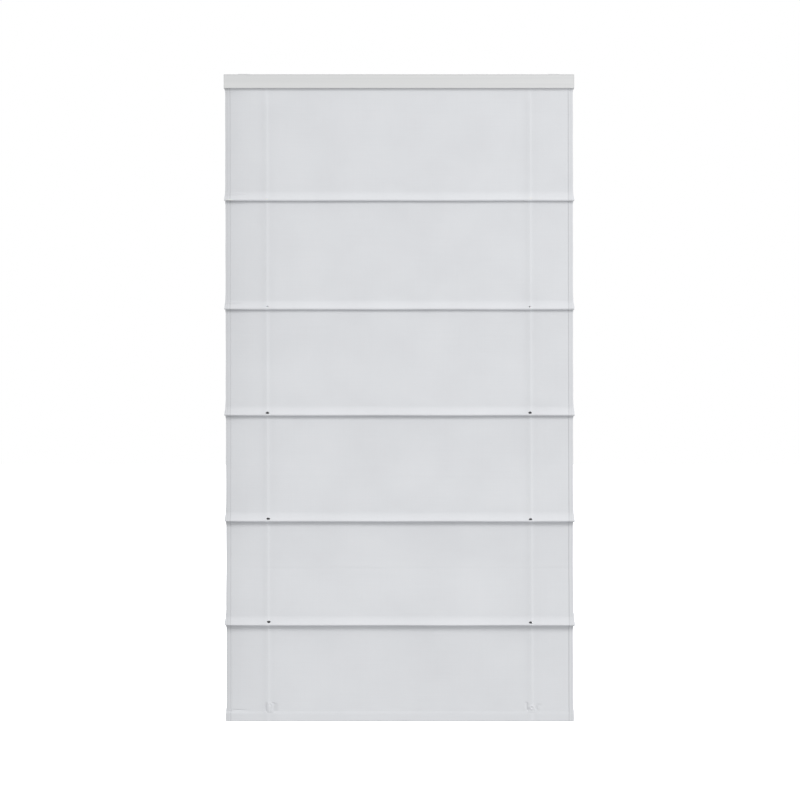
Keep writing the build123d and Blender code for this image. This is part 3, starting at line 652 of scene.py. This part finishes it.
def add_stitches(ob, lines):
    if not lines:
        return
    verts, faces = stitch_mesh(lines)
    me = ob.data
    old_v = np.zeros(len(me.vertices) * 3)
    me.vertices.foreach_get("co", old_v)
    old_f = [tuple(p.vertices) for p in me.polygons]
    n = len(me.vertices)
    sharp = set()
    flag = me.attributes.get("sharp_edge")
    if flag is not None:
        for e in me.edges:
            if flag.data[e.index].value:
                sharp.add((min(e.vertices), max(e.vertices)))
    new = bpy.data.meshes.new(ob.name + "_sewn")
    new.from_pydata([tuple(v) for v in old_v.reshape(-1, 3)] + [tuple(v) for v in verts], [], old_f + [tuple(i + n for i in f) for f in faces])
    new.materials.append(me.materials[0])
    new.materials.append(MAT["thread"])
    new.polygons.foreach_set("use_smooth", [True] * len(new.polygons))
    new.polygons.foreach_set("material_index", [0] * len(old_f) + [1] * len(faces))
    attribute = new.attributes.new("sharp_edge", "BOOLEAN", "EDGE")
    attribute.data.foreach_set("value", [((min(e.vertices), max(e.vertices)) in sharp) for e in new.edges])
    new.update()
    ob.data = new
    bpy.data.meshes.remove(me)


PITCH, STITCH = 3.2, 2.5


def vertical_stitches(place, xs, z_from, z_to, both=True, thick=None):
    """Seams that run up the cloth."""
    lines = []
    zs = np.arange(z_from - 0.4, z_to + STITCH, -PITCH)
    for x in xs:
        col = np.array([x])
        for z in zs:
            p, n = place(col, z)
            q, _ = place(col, z - STITCH)
            lines.append((p[0], q[0], n[0]))
            if both:
                t = CLOTH if thick is None else float(np.ravel(thick(col))[0])
                lines.append((p[0] - n[0] * t - [0, 0, 0.5 * PITCH], q[0] - n[0] * t - [0, 0, 0.5 * PITCH], -n[0]))
    return lines


def level_stitches(place, row, z, x_from, x_to, both=True):
    """A seam across the cloth."""
    lines = []
    xs = np.arange(x_from, x_to - STITCH, PITCH)
    p, n = place(xs, row)
    q, _ = place(xs + STITCH, row)
    for i in range(len(xs)):
        lines.append((p[i], q[i], n[i]))
        if both:
            lines.append((p[i] - n[i] * CLOTH, q[i] - n[i] * CLOTH, -n[i]))
    return lines


HEM_SEAM = HALF - HEM_SEAM_IN
TAPE_SEAM = 4.7


def cloth_done(ob, body, squash=None, node_names=("shade_fabric",)):
    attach(ob, body)
    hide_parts(*node_names)
    if squash:
        squash_to(ob, *squash)
    return ob


# the panels, each in an upper and a lower half
for k in range(6):
    top, foot, mid, dz, dy = panels[k]
    place = panel_place(k)
    for part, (a, b) in (("upper", (top, mid)), ("lower", (mid, foot))):
        levels = rows(a, b, 4.8)
        if k == 5 and part == "lower":
            levels = sorted(set(levels + list(np.arange(foot, foot + 42.0, 1.3))), reverse=True)
        ob = strip("cloth_%d_%s" % (k + 1, part), COLS, levels, place, MAT["cloth"], back=hem_back)
        seams = [-HEM_SEAM, HEM_SEAM]
        tape = [s * CORD_X + u for s in (-1, 1) for u in (-TAPE_SEAM, TAPE_SEAM)]
        lines = vertical_stitches(place, seams, a, b, True, hem_back) + vertical_stitches(place, tape, a, b, False)
        add_stitches(ob, lines)
        out_foot = float(np.mean(lean(k, COLS)))
        out_mid = out_foot * float(smooth(foot + LEAN_FROM, foot - 6.0, mid))
        if part == "upper":
            cloth_done(ob, BODY[k], squash=(a, b, dz, -dy, 0.0, out_mid))
        else:
            cloth_done(ob, BODY[k + 1], squash=(b, a, -dz, -dy, out_foot, out_mid))


# ------------------------------------------------------------------ tucks
ROD_Y, WRAP_R = -19.2, 3.2
PROUD = (0.93, 0.97, 1.0, 1.0, 1.04)           # the upper tucks are pulled a little flatter by the weight below them


def tuck_path(k):
    """Along the cloth through tuck k: down the front of the swing, round the edge, up behind it to the seam, then down as the next panel."""
    top, cz, seam, lip = TOPS[k], CZ[k], SEAMS[k], LIPS[k]
    path = []
    # the cloth swings out more and more towards the rod, turns tightly under it and goes back up
    lean = math.radians(33.0)
    rod_z = lip + WRAP_R
    y_end, z_end = ROD_Y - WRAP_R * math.cos(lean), rod_z + WRAP_R * math.sin(lean)
    out, down = FRONT - y_end, top - z_end
    power = math.tan(lean) * down / out
    for u in np.linspace(0.0, 1.0, 19)[:-1]:
        slope = out * power * u ** (power - 1.0) / down
        size = math.hypot(1.0, slope)
        path.append(("front", FRONT - out * u ** power, top - down * u, -1.0 / size, slope / size))
    for a in np.linspace(147.0, 350.0, 27):
        g = math.radians(a)
        path.append(("edge", ROD_Y + WRAP_R * math.cos(g), rod_z + WRAP_R * math.sin(g), math.cos(g), math.sin(g)))
    y0 = ROD_Y + WRAP_R * math.cos(math.radians(350.0))
    for z in np.linspace(lip + 4.6, seam, 12):
        t = (z - lip - 2.6) / (seam - lip - 2.6)
        path.append(("back", y0 + (FRONT - 0.12 - y0) * float(smooth(0.0, 1.0, t)), z, 1.0, 0.0))
    s_ = PROUD[k]
    flat = []
    for kind, y, z, ny, nz in path:
        size = math.hypot(ny / s_, nz)
        flat.append((kind, FRONT + (y - FRONT) * s_ if kind != "back" and y < FRONT else y, z, ny / s_ / size, nz / size))
    path = flat
    path.append(("back", FRONT - 0.06, seam + 0.02, 0.0, -1.0))
    for z in list(np.linspace(seam, lip + 0.0, 13)):
        path.append(("panel", FRONT, z, -1.0, 0.0))
    return path


def tuck_place(k):
    top, seam, lip = TOPS[k], SEAMS[k], LIPS[k]
    pk = k + 1
    wave_seed = 3.1 * (k + 1)

    def place(cols, row):
        kind, y, z, ny, nz = row
        if kind == "panel":
            d = relief(cols, z, pk) * smooth(seam + 0.5, lip, z) ** 1.0
            p = np.stack([spread(cols, z, pk), np.full_like(cols, y) - d, np.full_like(cols, z)], 1)
            return p, np.tile([0.0, -1.0, 0.0], (len(cols), 1))
        depth = {"front": 1.0, "edge": 1.0, "back": 0.0}[kind]
        carry = 1.0 if kind == "front" or (kind == "edge" and nz > 0) else (0.5 * (1.0 - ny) if kind == "edge" else 0.0)
        proud = lean(k, cols)
        fade = smooth(lip, top, z) if kind == "front" else 0.0
        here = relief(cols, top, k) - proud * float(smooth(top + LEAN_FROM, top - 6.0, top))
        soft = 0.35 * side_relief(cols, z) + 0.45 * cord_relief(cols, z)
        d = here * fade + soft * (1.0 - fade) * depth
        # the edge hangs a little unevenly
        sag = 0.28 * long_line(cols * 1.1, wave_seed) + 0.16 * np.sin(cols / 61.0 + wave_seed)
        fore = 0.35 * long_line(cols * 0.9, wave_seed + 2.0)
        s = smooth(top, lip + 6.0, z) * (1.0 if kind != "back" else smooth(seam, lip + 8.0, z))
        wide = smooth(top, lip + 5.0, z) * smooth(360.0, HALF, np.abs(cols))
        x = cols + np.sign(cols) * 1.9 * wide * (1.0 if kind != "back" else 0.6) + drift(z)
        yy = y + ny * d - fore * s * (1.0 if kind != "back" else 0.0) - proud * carry * (smooth(top + LEAN_FROM, top - 6.0, z) if kind == "front" else 1.0)
        zz = z + nz * d + sag * s
        n = np.tile([0.0, ny, nz], (len(cols), 1))
        return np.stack([x, yy, zz], 1), n
    return place


TUCK_PATHS = []
SLOT_SHIFT = (((0.0, 0.0), (0.001, 0.0)), ((0.0, 0.0), (-3.0, 0.0)), ((0.0, 0.0), (-3.3, 0.0)), ((1.6, 0.5), (-2.7, -0.9)), ((2.7, 2.6), (-2.6, 0.9)))
for k in range(5):
    path = tuck_path(k)
    TUCK_PATHS.append(path)
    slot_z = SLOT_Z[k]

    def in_slot(x, i, path=path, slot_z=slot_z, k=k):
        z = 0.5 * (path[i][2] + path[i + 1][2])
        kind = path[i][0]
        if kind == "edge":
            return False
        if k < 1 and kind in ("front", "edge"):
            return False
        shrink = 0.62 if k == 1 else 1.0
        if kind == "front":
            for sx, sz in SLOT_SHIFT[k]:
                side = -1.0 if (sx, sz) == SLOT_SHIFT[k][0] else 1.0
                if ((x - side * CORD_X - sx) / (4.5 * shrink)) ** 2 + ((z - slot_z - sz) / (2.7 * shrink)) ** 2 < 1.0:
                    return True
            return False
        u = min(abs(x - CORD_X), abs(x + CORD_X))
        return (u / (3.9 * shrink)) ** 2 + ((z - slot_z) / (2.35 * shrink)) ** 2 < 1.0

    place = tuck_place(k)
    ob = strip("tuck_%d" % (k + 1), COLS, path, place, MAT["cloth"], hole=in_slot)
    lines = []
    # the seam that closes the tuck, seen from behind, and the side hems over its front
    seam_row = next(r for r in path if r[0] == "panel")
    lines += level_stitches(place, ("panel", FRONT, SEAMS[k] - 1.6, -1.0, 0.0), SEAMS[k], -HALF + 3.0, HALF - 3.0, True)
    front_rows = [r for r in path if r[0] == "front"]
    for x in (-HEM_SEAM, HEM_SEAM):
        col = np.array([x])
        pts = [place(col, r) for r in front_rows + [r for r in path if r[0] == "edge"]]
        for i in range(0, len(pts) - 2, 2):
            lines.append((pts[i][0][0], pts[i + 2][0][0] * 0.85 + pts[i][0][0] * 0.15, pts[i][1][0]))
    add_stitches(ob, lines)
    cloth_done(ob, "fold_%d" % (k + 1))
    # a near-black patch behind each slot, painted shadow that stands in for the shade inside the tuck
    for side, (sx, sz) in zip((-1.0, 1.0), SLOT_SHIFT[k]):
        if k < 1:
            continue
        z0, x0 = slot_z + sz, side * CORD_X + sx
        ring, faces = [], []
        fronts = [r for r in path if r[0] == "front"]
        for q, (fx, fz) in enumerate([(0.0, 0.0)] + [(math.cos(a), math.sin(a)) for a in np.linspace(0.0, 2 * math.pi, 17)[:-1]]):
            px, pz = x0 + 5.6 * fx, z0 + 3.6 * fz
            row = min(fronts, key=lambda r: abs(r[2] - pz))
            hit = place(np.array([px]), row)[0][0]
            ring.append((px * MM, (hit[1] + CLOTH + 0.5) * MM, pz * MM))
        ring.append((ring[0][0], ring[0][1] + 0.6 * MM, ring[0][2]))
        for q in range(16):
            faces.append((0, 1 + (q + 1) % 16, 1 + q))
            faces.append((17, 1 + q, 1 + (q + 1) % 16))
        patch = build("slot_binding_%d_%s" % (k + 1, "left" if side < 0 else "right"), ring, faces, MAT["slot_shade"])
        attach(patch, "fold_%d" % (k + 1))
        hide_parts("shade_fabric")

# ------------------------------------------------------------------ hem pocket around the weight bar
HEM_CY, HEM_R = -14.0, 3.2
HEM_CZ_TOP, HEM_CZ_BOTTOM = HEM_TOP - HEM_R, BOTTOM + HEM_R


HEM_SWING = 5.0


def hem_front(z):
    """The hem's front stands a little proud of the panel, where it passes over the bar."""
    return FRONT - (HEM_R - 0.4) * float(smooth(HEM_JOIN, HEM_JOIN - HEM_SWING, z))


def hem_path():
    path = [("join", FRONT, HEM_JOIN, -1.0, 0.0)]
    for t in np.linspace(0.1, 1.0, 10):
        slope = (HEM_R - 0.4 - LEAN[5]) / HEM_SWING * 6 * t * (1 - t)
        size = math.hypot(1.0, slope)
        path.append(("front", hem_front(HEM_JOIN - HEM_SWING * t), HEM_JOIN - HEM_SWING * t, -1.0 / size, slope / size))
    for z in np.linspace(HEM_JOIN - HEM_SWING - 1.4, HEM_CZ_BOTTOM, 10):
        path.append(("front", HEM_CY - HEM_R, z, -1.0, 0.0))
    for a in np.linspace(180.0, 360.0, 16)[1:]:
        g = math.radians(a)
        path.append(("round", HEM_CY + HEM_R * math.cos(g), HEM_CZ_BOTTOM + HEM_R * math.sin(g), math.cos(g), math.sin(g)))
    for z in np.linspace(HEM_CZ_BOTTOM + 2.0, HEM_CZ_TOP, 10):
        path.append(("back", HEM_CY + HEM_R, z, 1.0, 0.0))
    for a in np.linspace(0.0, 78.0, 7)[1:]:
        g = math.radians(a)
        path.append(("back", HEM_CY + HEM_R * math.cos(g), HEM_CZ_TOP + HEM_R * math.sin(g), math.cos(g), math.sin(g)))
    return path


def hem_place(cols, row):
    kind, y, z, ny, nz = row
    d = np.zeros_like(cols)
    if kind in ("join", "front"):
        f = smooth(HEM_JOIN - HEM_SWING, HEM_JOIN, z)
        d = relief(cols, HEM_JOIN, 5) * f + (0.30 * side_relief(cols, z) + 0.16 * ripples(cols * 1.6) + 0.22 * long_line(cols, 4.0)) * (1 - f)
        # puckers along the sewn line
        d = d - 0.32 * gauss(z - (HEM_TOP - 1.4), 1.3) + 0.10 * np.sin(cols / 2.6 + 2 * np.sin(cols / 17.0)) * gauss(z - (HEM_TOP - 3.6), 2.2)
    sag = 0.35 * long_line(cols * 0.8, 9.0) * (1.0 if kind in ("round", "back") or z < HEM_TOP - 8 else 0.0) * smooth(HEM_TOP - 6.0, BOTTOM, z)
    wide = smooth(HEM_JOIN, HEM_JOIN - 12.0, z) * smooth(360.0, HALF, np.abs(cols))
    x = cols + np.sign(cols) * 0.3 * wide + drift(z)
    if kind in ("join", "front"):
        return np.stack([x, y - d, z + sag], 1), np.tile([0.0, ny, nz], (len(cols), 1))
    return np.stack([x, y + ny * d, z + nz * d + sag], 1), np.tile([0.0, ny, nz], (len(cols), 1))


HEM_PATH = hem_path()


def hem_slot(x, i):
    kind, z = HEM_PATH[i][0], 0.5 * (HEM_PATH[i][2] + HEM_PATH[i + 1][2])
    u = min(abs(x - CORD_X), abs(x + CORD_X))
    return kind == "back" and u < 6.4 and abs(z + 1614.0) < 2.1


hem = strip("hem_pocket", COLS, HEM_PATH, hem_place, MAT["cloth"], hole=hem_slot)
hem_lines = level_stitches(hem_place, ("front", hem_front(HEM_TOP - 1.4) - 0.05, HEM_TOP - 1.4, -1.0, 0.0), 0, -HALF + 2.0, HALF - 2.0, False)
hem_lines += level_stitches(hem_place, ("back", HEM_CY + HEM_R * math.cos(math.radians(60)), HEM_CZ_TOP + HEM_R * math.sin(math.radians(60)), math.cos(math.radians(60)), math.sin(math.radians(60))), 0, -HALF + 2.0, HALF - 2.0, False)
for x in (-HEM_SEAM, HEM_SEAM):
    pts = [hem_place(np.array([x]), r) for r in HEM_PATH if r[0] in ("front", "round")]
    for i in range(0, len(pts) - 1, 2):
        j = min(i + 1, len(pts) - 1)
        hem_lines.append((pts[i][0][0], pts[j][0][0], pts[i][1][0]))
add_stitches(hem, hem_lines)
cloth_done(hem, "bottom_rail")

# ------------------------------------------------------------------ the cloth's top, looped round its spline in the headrail
header_path = [("h", -13.55, -46.0, -1.0, 0.0), ("h", -13.55, -40.0, -1.0, 0.0), ("h", -13.55, -36.0, -1.0, 0.0), ("h", -13.35, -34.8, -0.9, 0.43)]
header_path = []
for z in (-47.0, -43.0, -39.0, -36.4):
    header_path.append(("h", -13.0, z, 1.0, 0.0))
for a in np.linspace(-38.0, 218.0, 27):
    g = math.radians(a)
    header_path.append(("h", -14.0 + 2.35 * math.cos(g), -32.7 + 2.35 * math.sin(g), math.cos(g), math.sin(g)))
header_path.append(("h", FRONT - 0.35, -35.6, -0.96, -0.2))
header_path.append(("h", FRONT, RAIL_BOTTOM, -1.0, 0.0))


def header_place(cols, row):
    kind, y, z, ny, nz = row
    yy = np.full_like(cols, y) - (relief(cols, RAIL_BOTTOM, 0) if z == RAIL_BOTTOM else 0.0)
    return np.stack([cols, yy, np.full_like(cols, z)], 1), np.tile([0.0, ny, nz], (len(cols), 1))


HEADER_COLS = np.array(sorted(set([-HALF] + list(np.arange(-430.0, 430.1, 10.0)) + [HALF])))
header = strip("cloth_header", HEADER_COLS, header_path, header_place, MAT["cloth"])
header_lines = level_stitches(header_place, ("h", -13.0, -44.0, 1.0, 0.0), 0, -HALF + 3.0, HALF - 3.0, False)
add_stitches(header, header_lines)
cloth_done(header, "headrail")

# ------------------------------------------------------------------ ring tapes on the back of the cloth
TAPE_T = 0.45


def tape_strip(name, side, levels, place, body, squash=None, hole=None):
    xs = side * CORD_X + np.array([-6.0, -5.2, -4.0, -2.7, -1.35, 0.0, 1.35, 2.7, 4.0, 5.2, 6.0])
    nc = len(xs)
    front, rear = [], []
    for z in levels:
        p, _ = place(xs, z)
        y = p[:, 1] + CLOTH + 0.04
        selvedge = 0.12 * gauss(np.abs(xs - side * CORD_X) - 5.5, 0.7)
        front.append(np.stack([p[:, 0], y, p[:, 2]], 1))
        rear.append(np.stack([p[:, 0], y + TAPE_T + selvedge, p[:, 2]], 1))
    verts = np.concatenate([np.array(front).reshape(-1, 3), np.array(rear).reshape(-1, 3)]) * MM
    nr = len(levels)
    off = nr * nc
    faces, count = [], {}
    for i in range(nr - 1):
        for j in range(nc - 1):
            if hole and hole(0.5 * (xs[j] + xs[j + 1]), 0.5 * (levels[i] + levels[i + 1])):
                continue
            a, b, c, d = i * nc + j, i * nc + j + 1, (i + 1) * nc + j + 1, (i + 1) * nc + j
            faces += [(a, d, c, b), (off + a, off + b, off + c, off + d)]
            for u, v in ((a, d), (d, c), (c, b), (b, a)):
                count.setdefault((min(u, v), max(u, v)), []).append((u, v))
    sharp = set()
    for key, uses in count.items():
        if len(uses) == 1:
            u, v = uses[0]
            faces.append((v, u, off + u, off + v))
            sharp.add(key)
            sharp.add((min(off + u, off + v), max(off + u, off + v)))
    ob = build(name, verts, faces, MAT["tape"], sharp=sharp)
    clean_loose(ob)
    lines = []
    for u in (-TAPE_SEAM, TAPE_SEAM):
        col = np.array([side * CORD_X + u])
        for z in np.arange(levels[0] - 0.4, levels[-1] + STITCH, -PITCH):
            p, _ = place(col, z)
            q, _ = place(col, z - STITCH)
            lines.append((p[0] + [0, CLOTH + TAPE_T + 0.08, 0], q[0] + [0, CLOTH + TAPE_T + 0.08, 0], (0, 1, 0)))
    add_stitches(ob, lines)
    which = "left" if side < 0 else "right"
    cloth_done(ob, body, squash=squash, node_names=("ring_tape_" + which,))
    return ob


for side in (-1.0, 1.0):
    tag = "left" if side < 0 else "right"
    for k in range(6):
        top, foot, mid, dz, dy = panels[k]
        top_z = -48.0 if k == 0 else top
        place = panel_place(k)
        tape_strip("tape_%s_%d_upper" % (tag, k + 1), side, rows(top_z, mid, 4.0), place, BODY[k], (top, mid, dz, -dy))
        tape_strip("tape_%s_%d_lower" % (tag, k + 1), side, rows(mid, foot, 4.0), place, BODY[k + 1], (foot, mid, -dz, -dy))
    for k in range(5):
        base = tuck_place(k)

        def place(cols, z, base=base, k=k):
            if z > SEAMS[k] - 0.5:
                # across the notch that the seam leaves in the back of the cloth
                t = (TOPS[k] - z) / (TOPS[k] - SEAMS[k] + 0.5)
                a = FRONT - relief(cols, TOPS[k], k)
                b = base(cols, ("panel", FRONT, SEAMS[k] - 0.5, -1.0, 0.0))[0][:, 1]
                y = a * (1 - t) + b * t
                return np.stack([spread(cols, z, k + 1), y, np.full_like(cols, z)], 1), None
            return base(cols, ("panel", FRONT, z, -1.0, 0.0))

        slot_z = SLOT_Z[k]
        levels = sorted(set(list(np.linspace(TOPS[k], LIPS[k], 14)) + [slot_z + 2.1, slot_z - 2.1]), reverse=True)
        tape_strip("tape_%s_tuck_%d" % (tag, k + 1), side, levels, place, "fold_%d" % (k + 1), hole=lambda x, z, side=side, slot_z=slot_z: abs(x - side * CORD_X) < 4.0 and abs(z - slot_z) < 2.0)

# ------------------------------------------------------------------ lift cords
def tube(name, points, radius, sides, material, wobble=None):
    points = [np.asarray(p, float) for p in points]
    verts, faces = [], []
    ref = np.array([1.0, 0.0, 0.0])
    for i, p in enumerate(points):
        a = points[max(0, i - 1)]
        b = points[min(len(points) - 1, i + 1)]
        t = b - a
        t = t / np.linalg.norm(t)
        u = np.cross(t, ref)
        if np.linalg.norm(u) < 1e-3:
            u = np.cross(t, [0, 1, 0])
        u = u / np.linalg.norm(u)
        v = np.cross(t, u)
        for s_ in range(sides):
            g = 2 * math.pi * s_ / sides
            r = radius if wobble is None else radius * (1.0 + wobble(i, s_))
            verts.append((p + r * (math.cos(g) * u + math.sin(g) * v)) * MM)
    for i in range(len(points) - 1):
        for s_ in range(sides):
            n_ = (s_ + 1) % sides
            faces.append((i * sides + s_, (i + 1) * sides + s_, (i + 1) * sides + n_, i * sides + n_))
    faces.append(tuple(range(sides)))
    faces.append(tuple((len(points) - 1) * sides + s_ for s_ in range(sides))[::-1])
    return build(name, verts, faces, material)


def ball(name, centre, radius, squeeze, material, ridges=0):
    verts, faces = [], []
    lat, lon = 12, 20
    for i in range(lat + 1):
        a = math.pi * i / lat
        for j in range(lon):
            b = 2 * math.pi * j / lon
            r = radius * (1.0 + 0.10 * math.sin(ridges * (a + 0.6 * b)) if ridges else 1.0)
            verts.append(((centre[0] + r * math.sin(a) * math.cos(b)) * MM, (centre[1] + r * math.sin(a) * math.sin(b)) * MM, (centre[2] + squeeze * r * math.cos(a)) * MM))
    for i in range(lat):
        for j in range(lon):
            n_ = (j + 1) % lon
            faces.append((i * lon + j, (i + 1) * lon + j, (i + 1) * lon + n_, i * lon + n_))
    ob = build(name, verts, faces, material)
    ob.data.validate()
    return ob


CORD_TOP, CORD_END = SHAFT_Z, -1597.6
for side in (-1.0, 1.0):
    tag = "left" if side < 0 else "right"
    x = side * CORD_X
    zs = np.arange(CORD_TOP, CORD_END, -5.0).tolist() + [CORD_END]
    pts = [(x + 0.05 * math.sin(z / 40.0), CORD_Y + 0.05 * math.sin(z / 33.0 + 1.0), z) for z in zs]
    cord = tube("lift_cord_%s_run" % tag, pts, 0.68, 8, MAT["cord"], wobble=lambda i, s_: 0.05 * math.sin(2.2 * i + 2.0 * s_))
    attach(cord, "headrail")
    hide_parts("lift_cord_" + tag)
    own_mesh(cord)
    knot = ball("lift_cord_%s_knot" % tag, (x, CORD_Y, CORD_END - 0.2), 1.6, 1.0, MAT["cord"], ridges=4)
    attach(knot, "bottom_rail")
    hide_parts("lift_cord_" + tag)
    # three turns left on the spool when the blind is fully down
    turns = 3.0
    wraps = []
    for q in range(int(turns * 24) + 1):
        g = 2 * math.pi * q / 24.0
        wraps.append((x - side * (1.5 * q / 24.0), SHAFT_Y - (8.9 + 0.72) * math.cos(g), SHAFT_Z + (8.9 + 0.72) * math.sin(g)))
    coil = tube("lift_cord_%s_turns" % tag, wraps, 0.68, 8, MAT["cord"])
    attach(coil, "lift_shaft")
    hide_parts("lift_cord_" + tag)

# ------------------------------------------------------------------ materials on the CAD pieces that stay
for name, ob in nodes.items():
    slot = SLOT_MATERIAL.get(name)
    if slot in MAT and slot not in ("cloth", "tape", "cord"):
        ob.data.materials.clear()
        ob.data.materials.append(MAT[slot])

# ------------------------------------------------------------------ floor, light, world
floor_mat, t, b = new_material("floor_white")
fn = noise(t, coords(t, (1, 1, 1)), 3.0, 2.0)
fc = ramp(t, fn, [(0.3, (0.985, 0.985, 0.985)), (0.7, (1.0, 1.0, 1.0))])
t.links.new(fc, b.inputs["Base Color"])
b.inputs["Roughness"].default_value = 0.9
b.inputs["Emission Color"].default_value = (1, 1, 1, 1)
b.inputs["Emission Strength"].default_value = 1.0
me = bpy.data.meshes.new("floor")
S, Z = 30.0, -2.05
me.from_pydata([(-S, -S, Z), (S, -S, Z), (S, S, Z), (-S, S, Z)], [], [(0, 1, 2, 3)])
me.materials.append(floor_mat)
floor = bpy.data.objects.new("floor", me)
scene.collection.objects.link(floor)
floor.visible_diffuse = False
floor.visible_glossy = False

world = bpy.data.worlds.new("studio")
scene.world = world
world.use_nodes = True
wt = world.node_tree
for n in list(wt.nodes):
    wt.nodes.remove(n)
w_out = wt.nodes.new("ShaderNodeOutputWorld")
w_mix = wt.nodes.new("ShaderNodeMixShader")
w_path = wt.nodes.new("ShaderNodeLightPath")
w_fill = wt.nodes.new("ShaderNodeBackground")
w_seen = wt.nodes.new("ShaderNodeBackground")
w_dir = wt.nodes.new("ShaderNodeTexCoord")
w_sep = wt.nodes.new("ShaderNodeSeparateXYZ")
wt.links.new(w_dir.outputs["Generated"], w_sep.inputs[0])
w_amount = maths(wt, "MULTIPLY_ADD", w_sep.outputs["Z"], 0.10, maths(wt, "MULTIPLY_ADD", w_sep.outputs["X"], 0.10, 1.0))
w_amount = maths(wt, "MULTIPLY", w_amount, 0.695)
w_fill.inputs["Color"].default_value = (0.985, 0.993, 1.0, 1)
wt.links.new(w_amount, w_fill.inputs["Strength"])
w_seen.inputs["Color"].default_value = (1, 1, 1, 1)
w_seen.inputs["Strength"].default_value = 1.0
wt.links.new(w_path.outputs["Is Camera Ray"], w_mix.inputs[0])
wt.links.new(w_fill.outputs[0], w_mix.inputs[1])
wt.links.new(w_seen.outputs[0], w_mix.inputs[2])
wt.links.new(w_mix.outputs[0], w_out.inputs[0])


def area(name, location, aim, size, power, colour=(1, 1, 1)):
    data = bpy.data.lights.new(name, "AREA")
    data.shape = "RECTANGLE"
    data.size, data.size_y = size
    data.energy = power
    data.color = colour
    ob = bpy.data.objects.new(name, data)
    ob.location = location
    ob.rotation_euler = (Vector(aim) - Vector(location)).to_track_quat("-Z", "Y").to_euler()
    scene.collection.objects.link(ob)
    return ob


sun = bpy.data.lights.new("key", "SUN")
sun.energy = 1.12
sun.angle = math.radians(24)
sun.color = (1.0, 0.997, 0.99)
sun_ob = bpy.data.objects.new("key", sun)
sun_ob.rotation_euler = Vector((-0.27, 0.73, -0.63)).to_track_quat("-Z", "Y").to_euler()
sun_ob.location = (0.8, -2.0, 2.2)
scene.collection.objects.link(sun_ob)
area("side", (0.95, -1.25, 0.0), (0.35, 0.0, -0.35), (0.9, 0.9), 1.9)

scene.view_settings.view_transform = "Standard"
scene.view_settings.look = "None"
scene.view_settings.exposure = 0.0
scene.view_settings.gamma = 1.0
